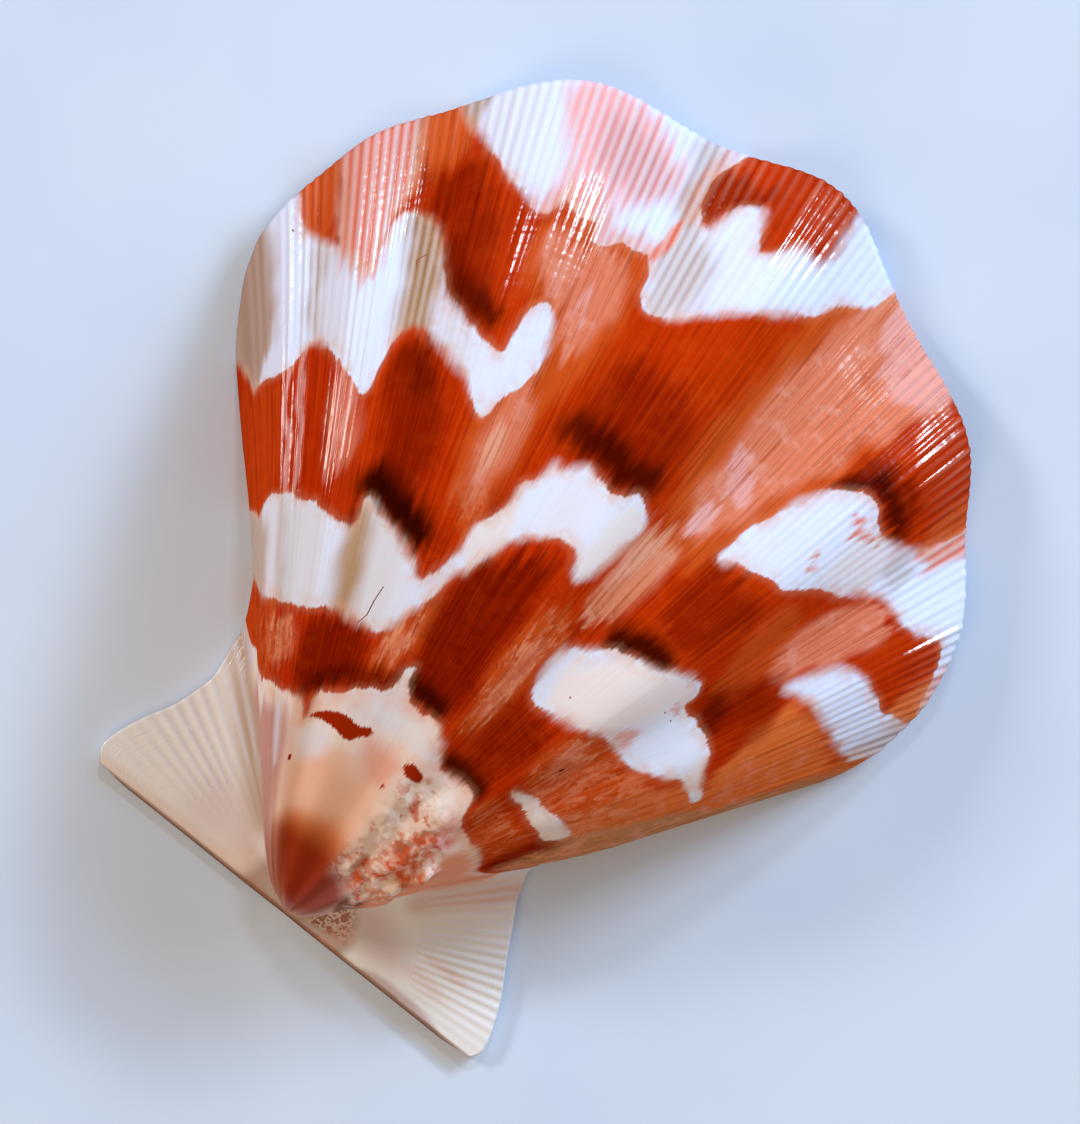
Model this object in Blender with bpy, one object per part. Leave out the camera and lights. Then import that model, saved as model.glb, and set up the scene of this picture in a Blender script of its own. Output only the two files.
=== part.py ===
"""One valve of a scallop, lying convex side up on its ears and its margin.

The hinge line runs along X, the valve grows towards +Y from the beak in the middle of that line,
and its domed outer side faces +Z. The valve is modelled with the beak at x = y = 0 and moved at
the end, so that the origin is at the middle of its base.

A shell's outer side follows from its margin: each earlier stage of growth is a smaller copy of
the margin, turned up about the hinge line. Folds, riblets and ribs belong to the margin curve,
so they run back to the beak with it.
"""

import bmesh
import bpy
import numpy as np

MM = 0.001

# Lengths down to ROUGHNESS are in millimetres. Angles are in degrees, about the beak and from the
# midline, positive towards +X.

# The disc's margin is a circle, and DISC_BULGE says how far outside it the margin runs:
# (angle, distance).
DISC_CENTRE = (-1.6, 22.7)
DISC_RADIUS = 19.2
DISC_BULGE = [
    (-42.6, -0.8),
    (-41, 0.0),
    (-26, 0.5),
    (-20, 0.6),
    (-10, -0.4),
    (0, 0.2),
    (10, -0.7),
    (20, -0.15),
    (33, 0.1),
    (36.5, -0.8),
]

# The disc's steep sides, from the notch above each ear to the shoulder: (distance, angle).
LEFT_FLANK = [(13.2, -48), (14.6, -45.6), (17, -43.7), (22, -44.2), (25.5, -44.1), (30, -42.6)]
RIGHT_FLANK = [(11.4, 42), (13, 39.6), (17, 38.3), (22, 38.2), (25.7, 37.9), (28.7, 36.5)]

# The ears' free edges, from the tip on the hinge line to the notch: (angle, distance).
LEFT_EAR = [(-90, 11.1), (-86, 11.6), (-76.5, 11.3), (-67, 11.0), (-57.5, 11.35), (-48, 13.2)]
RIGHT_EAR = [(90, 10.9), (87, 11.25), (76, 10.9), (62, 10.5), (50, 10.7), (42, 11.4)]

# How fast earlier stages turn up about the hinge. BEAK_STAGE stops the turn at the beak, which
# keeps it over the hinge line, and the ears turn up less than the disc. The turn draws earlier
# stages in towards the hinge line by SPLAY of its full effect.
CURL = 0.75
BEAK_STAGE = 0.12
EAR_CURL = 0.3
SPLAY = 0.85

# The side at +X is narrower at the umbo: by what share, the angles between which that begins, and
# the stages over which it comes and goes.
TUCK = 0.24
TUCK_ANGLES = (5, 30)
TUCK_COMES = (0.0, 0.12)
TUCK_GOES = (0.2, 0.6)

# The disc's broad folds: (angle, share of FOLD_HEIGHT). A fold's crest also reaches further out.
FOLD_HEIGHT = 1.5
FOLD_REACH = 0.012
FOLDS = [
    (-42.6, 0.0),
    (-39, 0.55),
    (-36.5, 0.35),
    (-33, 0.85),
    (-27.5, 0.0),
    (-20, 1.0),
    (-8.5, 0.0),
    (-2, 0.95),
    (5.5, 0.0),
    (16, 1.0),
    (22.5, 0.05),
    (29, 0.8),
    (36.5, 0.0),
]

# Riblets of the disc and ribs of the ears, each two mesh columns wide: a groove and a crest. They
# are smooth at the beak and rise over a range of stages.
RIBLETS = 112
RIBLET_HEIGHT = 0.16
RIBLETS_RISE = (0.3, 1.0)
EAR_RIBS = 12
EAR_RIB_HEIGHT = 0.22
EAR_RIBS_RISE = (0.1, 0.7)
FLANK_COLUMNS = 8

# How far in from an ear's tip something changes: the notch is at 1, the shoulder at 2, and the
# disc's middle at DISC_MIDDLE.
DISC_MIDDLE = 7
EAR_ENDS = (0.6, 1.3)
EAR_RIBS_END = (0.7, 0.95)
FLANK_BEGINS = (1.0, 1.35)
FLANK_ENDS = (1.6, 2.0)
LIP_ENDS = (0.0, 0.25)
THINNING_ENDS = (1.2, 3.0)

# Chalky lumps where the umbo's side is worn: (angle, stage, height).
LUMPS = [
    (16, 0.20, 0.35),
    (27, 0.25, 0.45),
    (36, 0.21, 0.35),
    (24, 0.16, 0.30),
    (40, 0.28, 0.25),
    (10, 0.27, 0.20),
]
LUMP_ANGLE = 5.0
LUMP_STAGE = 0.022

# Thickness at the rim and in the wall, and the stages over which the wall thickens and thins.
RIM = 0.6
WALL = 1.0
WALL_THICKENS = (0.2, 0.6)
WALL_THINS = (0.8, 1.0)

# How much thinner the flanks are near the umbo, and the stages over which that goes.
FLANK_THINNING = 0.7
THINNING_GOES = (0.3, 0.65)

# How far the hinge's lower edge stands out behind, and the stages over which that goes.
HINGE_LIP = 0.35
LIP_GOES = (0.85, 1.0)

# The stage at which the cavity's back wall starts, and how fast the back wall narrows. The rest
# are shares of that stage: the flat hinge plate, and where the ligament's pit comes and goes.
CAVITY_STAGE = 0.28
NARROWING = 1.25
HINGE_PLATE = 0.2
PIT_COMES = (0.05, 0.2)
PIT_GOES = (0.3, 0.5)
PIT_ANGLES = (16, 26)
PIT_DEPTH = 0.6

# The difference in stage over which the outer side's slope is taken.
STAGE_STEP = 0.002

# Rows of the mesh: (stage, columns of the margin per column of the row).
OUTER_ROWS = [
    (0.025, 4),
    (0.06, 4),
    (0.10, 4),
    (0.15, 4),
    (0.20, 2),
    (0.26, 2),
    (0.33, 2),
    (0.41, 2),
    (0.50, 1),
    (0.60, 1),
    (0.70, 1),
    (0.80, 1),
    (0.90, 1),
    (1.0, 1),
]
INNER_ROWS = [
    (0.03, 4),
    (0.056, 4),
    (0.08, 4),
    (0.12, 4),
    (0.16, 4),
    (0.22, 4),
    (0.28, 2),
    (0.37, 2),
    (0.48, 2),
    (0.64, 2),
    (0.80, 2),
    (0.92, 2),
    (1.0, 2),
]

COLOUR = (0.58, 0.11, 0.04, 1)
ROUGHNESS = 0.35


def smooth(low, high, value):
    """Rise from 0 at low to 1 at high, level at both ends."""
    share = np.clip((value - low) / (high - low), 0, 1)
    return share * share * (3 - 2 * share)


def through(knots, at):
    """Value at a place on the smooth curve through (place, value) knots, which overshoots none."""
    place, value = np.array(knots, float).T
    step = np.diff(place)
    slope = np.diff(value) / step
    before, after = slope[:-1], slope[1:]
    total = np.where(before * after > 0, before + after, np.inf)
    tangent = np.concatenate((slope[:1], 2 * before * after / total, slope[-1:]))
    i = np.clip(np.searchsorted(place, at) - 1, 0, len(step) - 1)
    t = (at - place[i]) / step[i]
    leaving = value[i] * (1 + 2 * t) + step[i] * tangent[i] * t
    arriving = value[i + 1] * (3 - 2 * t) - step[i] * tangent[i + 1] * (1 - t)
    return leaving * (1 - t) ** 2 + arriving * t**2


def disc_distance(angle):
    """Distance from the beak to the disc's margin."""
    turn = np.radians(angle)
    along = DISC_CENTRE[0] * np.sin(turn) + DISC_CENTRE[1] * np.cos(turn)
    beak_outside = DISC_CENTRE[0] ** 2 + DISC_CENTRE[1] ** 2 - DISC_RADIUS**2
    return along + np.sqrt(along**2 - beak_outside) + through(DISC_BULGE, angle)


def ear_columns(ear):
    """Angles and distances of the margin's columns from an ear's tip to just before its notch."""
    angle = np.linspace(ear[0][0], ear[-1][0], 2 * EAR_RIBS, endpoint=False)
    knots = sorted(ear)
    return angle, through(knots, angle)


def flank_columns(flank):
    """Angles and distances of the margin's columns from a notch to just before the shoulder."""
    distance = np.linspace(flank[0][0], flank[-1][0], FLANK_COLUMNS, endpoint=False)
    return through(flank, distance), distance


class Margin:
    """The margin curve from the left ear's tip to the right ear's, one value per mesh column."""

    def __init__(self):
        disc = np.linspace(LEFT_FLANK[-1][1], RIGHT_FLANK[-1][1], 2 * RIBLETS + 1)
        folds = through(FOLDS, disc)
        left = np.hstack((ear_columns(LEFT_EAR), flank_columns(LEFT_FLANK)))
        right = np.hstack((ear_columns(RIGHT_EAR), flank_columns(RIGHT_FLANK)))[:, ::-1]
        disc_edge = disc_distance(disc) * (1 + FOLD_REACH * (folds - 0.5))
        self.angle, distance = np.hstack((left, (disc, disc_edge), right))
        self.x = distance * np.sin(np.radians(self.angle))
        self.y = distance * np.cos(np.radians(self.angle))

        # How far in from its ear's tip each column is.
        on_ear = np.arange(2 * EAR_RIBS) / (2 * EAR_RIBS)
        on_flank = 1 + np.arange(FLANK_COLUMNS) / FLANK_COLUMNS
        outside = np.hstack((on_ear, on_flank))
        from_middle = abs(np.linspace(-1, 1, len(disc)))
        on_disc = DISC_MIDDLE - (DISC_MIDDLE - 2) * from_middle
        side = np.hstack((outside, on_disc, outside[::-1]))
        self.ear = 1 - smooth(*EAR_ENDS, side)
        self.flank = smooth(*FLANK_BEGINS, side) - smooth(*FLANK_ENDS, side)
        self.fold = np.zeros(len(side))
        self.fold[side >= 2] = FOLD_HEIGHT * folds
        self.tuck = TUCK * smooth(*TUCK_ANGLES, self.angle)
        crest = np.arange(len(side)) % 2
        self.riblet = RIBLET_HEIGHT * crest * (side >= 2)
        self.ear_rib = EAR_RIB_HEIGHT * crest * (1 - smooth(*EAR_RIBS_END, side))
        self.lip = HINGE_LIP * (1 - smooth(*LIP_ENDS, side))
        self.thinning = FLANK_THINNING * (1 - smooth(*THINNING_ENDS, side))


def growth_line(margin, stage, folded=True):
    """The outer side's points at a stage, before riblets, ribs and lumps."""
    turn = CURL * np.log((1 + BEAK_STAGE) / (stage + BEAK_STAGE))
    turn = turn * (1 - (1 - EAR_CURL) * margin.ear)
    fold = margin.fold if folded else 0 * margin.fold
    tuck = margin.tuck * smooth(*TUCK_COMES, stage) * (1 - smooth(*TUCK_GOES, stage))
    x = stage * margin.x * (1 - tuck)
    y = stage * (margin.y * np.cos(SPLAY * turn) - fold * np.sin(turn))
    z = stage * (margin.y * np.sin(turn) + fold * np.cos(turn)) + RIM * (1 - margin.flank * stage)
    return np.stack((x, y, z), axis=1)


def outward(margin, stage):
    """Unit normals of the unfolded outer side at a stage."""
    later = growth_line(margin, stage + STAGE_STEP, False)
    earlier = growth_line(margin, stage - STAGE_STEP, False)
    across = np.gradient(growth_line(margin, stage, False), axis=0)
    normal = np.cross(across, later - earlier)
    return normal / np.linalg.norm(normal, axis=1, keepdims=True)


def outer_row(margin, stage):
    """The outer side's points at a stage."""
    relief = margin.riblet * smooth(*RIBLETS_RISE, stage)
    relief = relief + margin.ear_rib * smooth(*EAR_RIBS_RISE, stage)
    for angle, lump_stage, height in LUMPS:
        away = ((margin.angle - angle) / LUMP_ANGLE) ** 2 + ((stage - lump_stage) / LUMP_STAGE) ** 2
        relief = relief + height * np.exp(-away)
    return growth_line(margin, stage) + relief[:, None] * outward(margin, stage)


def inner_row(margin, stage):
    """The inner side's points at a stage: hollow under the disc, flat under the ears and beak."""
    hollow_stage = max(stage, CAVITY_STAGE)
    up = margin.ear[:, None] * (0, 0, 1)
    across_wall = (1 - margin.ear[:, None]) * outward(margin, hollow_stage) + up
    across_wall[:, 2] = np.maximum(across_wall[:, 2], 0)
    across_wall /= np.linalg.norm(across_wall, axis=1, keepdims=True)
    thick = smooth(*WALL_THICKENS, hollow_stage) * (1 - smooth(*WALL_THINS, hollow_stage))
    wall = RIM + (WALL - RIM) * thick
    wall = wall * (1 - margin.thinning * (1 - smooth(*THINNING_GOES, hollow_stage)))
    row = growth_line(margin, hollow_stage) - wall[:, None] * across_wall
    row[:, 2] = np.maximum(row[:, 2], 0) if stage < 1 else margin.fold

    # Before the cavity, the row shrinks to the hinge line and comes down to the hinge plate.
    share = stage / hollow_stage
    row[:, :2] *= share**NARROWING
    row[:, 1] -= margin.lip * (1 - smooth(*LIP_GOES, stage))
    row[:, 2] *= 1 - min((1 - share) / (1 - HINGE_PLATE), 1) ** 2
    pit = smooth(*PIT_COMES, share) * (1 - smooth(*PIT_GOES, share))
    row[:, 2] += PIT_DEPTH * pit * (1 - smooth(*PIT_ANGLES, abs(margin.angle)))
    return row


def make_rows(bm, rows, row_at, beak):
    """Vertices of one side: a row per stage, each a list of (column, vertex), from the beak out."""
    made = [[(0, bm.verts.new(beak))]]
    for stage, stride in rows:
        points = row_at(stage)
        columns = range(0, len(points), stride)
        made.append([(column, bm.verts.new(points[column])) for column in columns])
    return made


def stitch(bm, first, second):
    """Fill the strip between two lists of (place, vertex) that run the same way with triangles."""
    i = j = 0
    while i + 1 < len(first) or j + 1 < len(second):
        next_first = first[i + 1][0] if i + 1 < len(first) else np.inf
        next_second = second[j + 1][0] if j + 1 < len(second) else np.inf
        if next_first < next_second:
            bm.faces.new((first[i][1], second[j][1], first[i + 1][1]))
            i += 1
        else:
            bm.faces.new((first[i][1], second[j][1], second[j + 1][1]))
            j += 1


def hinge_edge(rows):
    """One side's points along the hinge line, from the left ear's tip to the right ear's."""
    vertices = [row[0][1] for row in reversed(rows)] + [row[-1][1] for row in rows[1:]]
    return [(vertex.co.x, vertex) for vertex in vertices]


def valve_mesh():
    """The valve as one closed mesh, in metres, with the origin at the middle of its base."""
    margin = Margin()
    bm = bmesh.new()
    outer = make_rows(bm, OUTER_ROWS, lambda stage: outer_row(margin, stage), (0, 0, RIM))
    inner = make_rows(bm, INNER_ROWS, lambda stage: inner_row(margin, stage), (0, 0, 0))
    for side in (outer, inner):
        for earlier, later in zip(side, side[1:]):
            stitch(bm, earlier, later)
    stitch(bm, outer[-1], inner[-1])
    stitch(bm, hinge_edge(outer), hinge_edge(inner))
    bmesh.ops.recalc_face_normals(bm, faces=bm.faces)

    places = np.array([vertex.co for vertex in bm.verts])
    low, high = places.min(axis=0), places.max(axis=0)
    base_middle = np.array(((low[0] + high[0]) / 2, (low[1] + high[1]) / 2, low[2]))
    for vertex, place in zip(bm.verts, (places - base_middle) * MM):
        vertex.co = place
    mesh = bpy.data.meshes.new("valve")
    bm.to_mesh(mesh)
    bm.free()
    return mesh


def shell_material():
    """Glossy orange-red shell."""
    material = bpy.data.materials.new("shell")
    material.use_nodes = True
    surface = material.node_tree.nodes["Principled BSDF"]
    surface.inputs["Base Color"].default_value = COLOUR
    surface.inputs["Roughness"].default_value = ROUGHNESS
    surface.inputs["Metallic"].default_value = 0
    return material


for old in list(bpy.data.objects):
    bpy.data.objects.remove(old)

mesh = valve_mesh()
mesh.materials.append(shell_material())
mesh.shade_smooth()
valve = bpy.data.objects.new("valve", mesh)
bpy.context.collection.objects.link(valve)
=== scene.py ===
"""A scallop valve lying convex side up on a pale table, with its sculpture and its colours.

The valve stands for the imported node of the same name. It is made again here by the same growth
model, finely enough for its riblets, worn crust and pits. Lengths named in millimetres are about
the beak, which lies at BEAK_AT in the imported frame.
"""

import math

import bpy
import numpy as np
from mathutils import Matrix, Vector, noise


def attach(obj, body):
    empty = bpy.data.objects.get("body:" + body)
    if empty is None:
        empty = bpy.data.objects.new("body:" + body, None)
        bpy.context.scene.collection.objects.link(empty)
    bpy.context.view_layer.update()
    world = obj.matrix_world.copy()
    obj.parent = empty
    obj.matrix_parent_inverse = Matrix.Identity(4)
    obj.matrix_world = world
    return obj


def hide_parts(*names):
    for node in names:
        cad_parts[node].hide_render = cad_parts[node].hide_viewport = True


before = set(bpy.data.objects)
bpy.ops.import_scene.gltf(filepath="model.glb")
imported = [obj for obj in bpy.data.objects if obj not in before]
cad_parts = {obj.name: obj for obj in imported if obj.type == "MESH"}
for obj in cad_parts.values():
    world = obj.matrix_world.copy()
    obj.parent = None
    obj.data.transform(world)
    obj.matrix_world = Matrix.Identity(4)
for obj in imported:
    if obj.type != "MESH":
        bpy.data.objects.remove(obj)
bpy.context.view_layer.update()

MM = 0.001
BEAK_AT = (1.7045, -21.0077)

# ------------------------------------------------------------------------------- the valve's shape

# Lengths are in millimetres and angles in degrees, about the beak and from the midline. The values
# down to STAGE_STEP are the CAD's, apart from the ear ribs and the hinge lip, which are lower here.
# The margin is a circle that bulges by some millimetres at some angles, two flanks of (distance,
# angle) and two ears of (angle, distance).
DISC_CENTRE = (-1.6, 22.7)
DISC_RADIUS = 19.2
DISC_BULGE = [
    (-42.6, -0.8), (-41, 0.0), (-26, 0.5), (-20, 0.6), (-10, -0.4), (0, 0.2), (10, -0.7), (20, -0.15),
    (33, 0.1), (36.5, -0.8),
]
LEFT_FLANK = [(13.2, -48), (14.6, -45.6), (17, -43.7), (22, -44.2), (25.5, -44.1), (30, -42.6)]
RIGHT_FLANK = [(11.4, 42), (13, 39.6), (17, 38.3), (22, 38.2), (25.7, 37.9), (28.7, 36.5)]
LEFT_EAR = [(-90, 11.1), (-86, 11.6), (-76.5, 11.3), (-67, 11.0), (-57.5, 11.35), (-48, 13.2)]
RIGHT_EAR = [(90, 10.9), (87, 11.25), (76, 10.9), (62, 10.5), (50, 10.7), (42, 11.4)]

# A stage of growth is the margin's size as a share of its last. How earlier stages turn up about
# the hinge, and how the side at +X tucks in.
CURL = 0.75
BEAK_STAGE = 0.12
EAR_CURL = 0.3
SPLAY = 0.85
TUCK = 0.24
TUCK_ANGLES = (5, 30)
TUCK_COMES = (0.0, 0.12)
TUCK_GOES = (0.2, 0.6)

# Broad folds: (angle, share of FOLD_HEIGHT). A crest also reaches further out.
FOLD_HEIGHT = 1.5
FOLD_REACH = 0.012
FOLDS = [
    (-42.6, 0.0), (-39, 0.55), (-36.5, 0.35), (-33, 0.85), (-27.5, 0.0), (-20, 1.0), (-8.5, 0.0),
    (-2, 0.95), (5.5, 0.0), (16, 1.0), (22.5, 0.05), (29, 0.8), (36.5, 0.0),
]

# Riblets over the disc and ribs on each ear. Ribs are faint along the hinge line, and finer on the
# right ear than on the left.
RIBLETS = 112
RIBLET_HEIGHT = 0.16
EAR_RIBS = 12
EAR_RIB_HEIGHT = 0.12
EAR_RIBS_FINER = (1.0, 1.5)
EAR_RIBS_RISE = (0.35, 0.85)
EAR_RIBS_BEGIN = (-0.1, 0.55)
EAR_RIBS_END = (0.7, 0.95)

# Lumps of the crust: (angle, stage, height).
LUMPS = [
    (16, 0.20, 0.35), (27, 0.25, 0.45), (36, 0.21, 0.35), (24, 0.16, 0.30), (40, 0.28, 0.25),
    (10, 0.27, 0.20),
]
LUMP_ANGLE = 5.0
LUMP_STAGE = 0.022

# Where ears, flanks and lip end, by a column's side: 0 at an ear's tip, 1 at the notch, 2 at the
# shoulder and DISC_MIDDLE on the midline.
DISC_MIDDLE = 7
EAR_ENDS = (0.6, 1.3)
FLANK_BEGINS = (1.0, 1.35)
FLANK_ENDS = (1.6, 2.0)
LIP_ENDS = (0.0, 0.25)
THINNING_ENDS = (1.2, 3.0)

# The wall, and the inner side's hollow, hinge plate and ligament pit, by stage.
RIM = 0.6
WALL = 1.0
WALL_THICKENS = (0.2, 0.6)
WALL_THINS = (0.8, 1.0)
FLANK_THINNING = 0.7
THINNING_GOES = (0.3, 0.65)
HINGE_LIP = 0.15
LIP_GOES = (0.85, 1.0)
CAVITY_STAGE = 0.28
NARROWING = 1.25
HINGE_PLATE = 0.2
PIT_COMES = (0.05, 0.2)
PIT_GOES = (0.3, 0.5)
PIT_ANGLES = (16, 26)
PIT_DEPTH = 0.6
STAGE_STEP = 0.002

# Riblets are rounded here, uneven, and faint until near the margin. At the left they rise by
# EARLY_RISE of a stage sooner, and the outermost are smoothed down. Colours follow even the lowest
# riblet's crest by CREST_LEAST: mostly a painted highlight on crests and painted shade in grooves.
RIBLET_SEED = 7
RIBLET_HEIGHTS = (0.3, 1.25)
RIBLET_ROUNDNESS = 0.8
CREST_LEAST = 0.35
EAR_RIB_ROUNDNESS = 1.6
ROUNDED_HEIGHT = 0.55
ROUNDED_RISE = (0.60, 1.0)
EARLY_RISE = 0.26
EARLY_ANGLES = (-32, -25)
SMOOTH_LEFT = 0.75
SMOOTH_ANGLES = (-41, -37)

# Mesh columns for each riblet or rib, and in each flank.
FINE = 6
FLANK_COLUMNS = 18

# Two thin ridges run down the umbo's left side: (angle, height).
RIDGES = [(-41.5, 0.13), (-36.5, 0.15)]
RIDGE_ANGLE = 1.3
RIDGES_COME = (0.02, 0.1)
RIDGES_GO = (0.28, 0.42)

# The worn crust is chalky beside the umbo and pitted next to the hinge: angles over which each
# comes and goes, and stages over which it comes and goes. Its noise is in millimetres, with some
# finer noise on top, and lower next to the hinge.
CHALKY = ((-6, 4), (30, 38), (0.11, 0.15), (0.25, 0.30))
PITTED = ((48, 54), (76, 83), (0.09, 0.14), (0.31, 0.38))
CRUST_GRAIN = 1.15
CRUST_LAYERS = (1.0, 2.1, 2)
CRUST_FINER = 2.7
CRUST_FINER_SHARE = 0.25
CRUST_HEIGHT = 0.30
HINGE_CRUST = 0.3


def smooth(low, high, value):
    """Rise from 0 at low to 1 at high, level at both ends."""
    share = np.clip((value - low) / (high - low), 0, 1)
    return share * share * (3 - 2 * share)


def through(knots, at):
    """Value at a place on the smooth curve through (place, value) knots, which overshoots none."""
    place, value = np.array(knots, float).T
    step = np.diff(place)
    slope = np.diff(value) / step
    before, after = slope[:-1], slope[1:]
    total = np.where(before * after > 0, before + after, np.inf)
    tangent = np.concatenate((slope[:1], 2 * before * after / total, slope[-1:]))
    i = np.clip(np.searchsorted(place, at) - 1, 0, len(step) - 1)
    t = (at - place[i]) / step[i]
    leaving = value[i] * (1 + 2 * t) + step[i] * tangent[i] * t
    arriving = value[i + 1] * (3 - 2 * t) - step[i] * tangent[i + 1] * (1 - t)
    return leaving * (1 - t) ** 2 + arriving * t**2


def disc_distance(angle):
    """Distance from the beak to the disc's margin."""
    turn = np.radians(angle)
    along = DISC_CENTRE[0] * np.sin(turn) + DISC_CENTRE[1] * np.cos(turn)
    beak_outside = DISC_CENTRE[0] ** 2 + DISC_CENTRE[1] ** 2 - DISC_RADIUS**2
    return along + np.sqrt(along**2 - beak_outside) + through(DISC_BULGE, angle)


def crest_at(place, roundness):
    """Height, from 0 to 1, at a place counted in riblets."""
    return (0.5 - 0.5 * np.cos(2 * np.pi * place)) ** roundness


class Margin:
    """The margin curve from the left ear's tip to the right ear's, one value per mesh column."""

    def __init__(self):
        disc = np.linspace(LEFT_FLANK[-1][1], RIGHT_FLANK[-1][1], FINE * RIBLETS + 1)
        folds = through(FOLDS, disc)
        left = np.hstack((self.ear_columns(LEFT_EAR), self.flank_columns(LEFT_FLANK)))
        right = np.hstack((self.ear_columns(RIGHT_EAR), self.flank_columns(RIGHT_FLANK)))[:, ::-1]
        disc_edge = disc_distance(disc) * (1 + FOLD_REACH * (folds - 0.5))
        self.angle, distance = np.hstack((left, (disc, disc_edge), right))
        self.x = distance * np.sin(np.radians(self.angle))
        self.y = distance * np.cos(np.radians(self.angle))

        # How far in from its ear's tip each column is.
        on_ear = np.arange(FINE * EAR_RIBS) / (FINE * EAR_RIBS)
        on_flank = 1 + np.arange(FLANK_COLUMNS) / FLANK_COLUMNS
        outside = np.hstack((on_ear, on_flank))
        from_middle = abs(np.linspace(-1, 1, len(disc)))
        on_disc = DISC_MIDDLE - (DISC_MIDDLE - 2) * from_middle
        side = np.hstack((outside, on_disc, outside[::-1]))
        self.side = side
        shoulder = np.where(self.angle < 0, LEFT_FLANK[-1][0], RIGHT_FLANK[-1][0])
        self.reach = np.where((side >= 1) & (side < 2), distance / shoulder, 1.0)
        self.ear = 1 - smooth(*EAR_ENDS, side)
        self.flank = smooth(*FLANK_BEGINS, side) - smooth(*FLANK_ENDS, side)
        self.fold = np.zeros(len(side))
        self.fold[side >= 2] = FOLD_HEIGHT * folds
        self.tuck = TUCK * smooth(*TUCK_ANGLES, self.angle)
        self.lip = HINGE_LIP * (1 - smooth(*LIP_ENDS, side))
        self.thinning = FLANK_THINNING * (1 - smooth(*THINNING_ENDS, side))
        self.add_riblets()
        self.add_ear_ribs()

    def add_riblets(self):
        """Each riblet is a rounded crest with its own height."""
        place = np.zeros(len(self.side))
        on_disc = self.side >= 2
        place[on_disc] = np.arange(np.count_nonzero(on_disc)) / FINE
        heights = np.random.default_rng(RIBLET_SEED).uniform(*RIBLET_HEIGHTS, RIBLETS + 1)
        height = heights[place.astype(int)]
        smoother = 1 - SMOOTH_LEFT * (1 - smooth(*SMOOTH_ANGLES, self.angle))
        crest = crest_at(place, RIBLET_ROUNDNESS) * on_disc * smoother
        self.riblet = RIBLET_HEIGHT * crest * height
        self.crest = crest * (CREST_LEAST + (1 - CREST_LEAST) * height)

    def add_ear_ribs(self):
        """Ribs on each ear, counted from its tip, which fade before the notch."""
        place = np.zeros(len(self.side))
        left = np.arange(FINE * EAR_RIBS) / FINE
        place[: len(left)] = EAR_RIBS_FINER[0] * left
        place[-len(left) :] = EAR_RIBS_FINER[1] * (left[::-1] + 1 / FINE)
        crest = crest_at(place, EAR_RIB_ROUNDNESS) * (self.side < 1)
        self.ear_crest = crest * smooth(*EAR_RIBS_BEGIN, self.side)
        self.ear_rib = EAR_RIB_HEIGHT * self.ear_crest * (1 - smooth(*EAR_RIBS_END, self.side))

    @staticmethod
    def ear_columns(ear):
        angle = np.linspace(ear[0][0], ear[-1][0], FINE * EAR_RIBS, endpoint=False)
        return angle, through(sorted(ear), angle)

    @staticmethod
    def flank_columns(flank):
        distance = np.linspace(flank[0][0], flank[-1][0], FLANK_COLUMNS, endpoint=False)
        return through(flank, distance), distance


def growth_line(margin, stage, folded=True):
    """The outer side's points at a stage, before riblets, ribs and lumps."""
    turn = CURL * np.log((1 + BEAK_STAGE) / (stage + BEAK_STAGE))
    turn = turn * (1 - (1 - EAR_CURL) * margin.ear)
    fold = margin.fold if folded else 0 * margin.fold
    tuck = margin.tuck * smooth(*TUCK_COMES, stage) * (1 - smooth(*TUCK_GOES, stage))
    x = stage * margin.x * (1 - tuck)
    y = stage * (margin.y * np.cos(SPLAY * turn) - fold * np.sin(turn))
    z = stage * (margin.y * np.sin(turn) + fold * np.cos(turn)) + RIM * (1 - margin.flank * stage)
    return np.stack((x, y, z), axis=1)


def outward(margin, stage):
    """Unit normals of the unfolded outer side at a stage."""
    later = growth_line(margin, stage + STAGE_STEP, False)
    earlier = growth_line(margin, stage - STAGE_STEP, False)
    across = np.gradient(growth_line(margin, stage, False), axis=0)
    normal = np.cross(across, later - earlier)
    return normal / np.linalg.norm(normal, axis=1, keepdims=True)


def within(bounds, angle, stage):
    """How far inside (angles and stages over which something comes and goes) a place is."""
    comes, goes, early, late = bounds
    across = smooth(*comes, angle) * (1 - smooth(*goes, angle))
    return across * smooth(*early, stage) * (1 - smooth(*late, stage))


def worn(margin, stage):
    """How much of the surface is worn crust."""
    chalky = within(CHALKY, margin.angle, stage)
    pitted = within(PITTED, margin.angle, stage)
    return np.where(margin.side >= 2, chalky, pitted)


def outer_row(margin, stage):
    """The outer side's points at a stage."""
    line = growth_line(margin, stage)
    later = stage + EARLY_RISE * (1 - smooth(*EARLY_ANGLES, margin.angle))
    relief = ROUNDED_HEIGHT * margin.riblet * smooth(*ROUNDED_RISE, later)
    relief = relief + margin.ear_rib * smooth(*EAR_RIBS_RISE, stage)
    for angle, lump_stage, height in LUMPS:
        away = ((margin.angle - angle) / LUMP_ANGLE) ** 2 + ((stage - lump_stage) / LUMP_STAGE) ** 2
        relief = relief + height * np.exp(-away)
    for angle, height in RIDGES:
        ridge = height * np.exp(-(((margin.angle - angle) / RIDGE_ANGLE) ** 2)) * (margin.side >= 1)
        relief = relief + ridge * smooth(*RIDGES_COME, stage) * (1 - smooth(*RIDGES_GO, stage))
    crust = worn(margin, stage) * np.where(margin.side >= 2, 1, HINGE_CRUST)
    for column in np.nonzero(crust > 0.01)[0]:
        place = Vector(line[column]) / CRUST_GRAIN
        finer = CRUST_FINER_SHARE * noise.noise(place * CRUST_FINER)
        rough = noise.fractal(place, *CRUST_LAYERS) + finer
        relief[column] += CRUST_HEIGHT * crust[column] * rough
    return line + relief[:, None] * outward(margin, stage)


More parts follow.
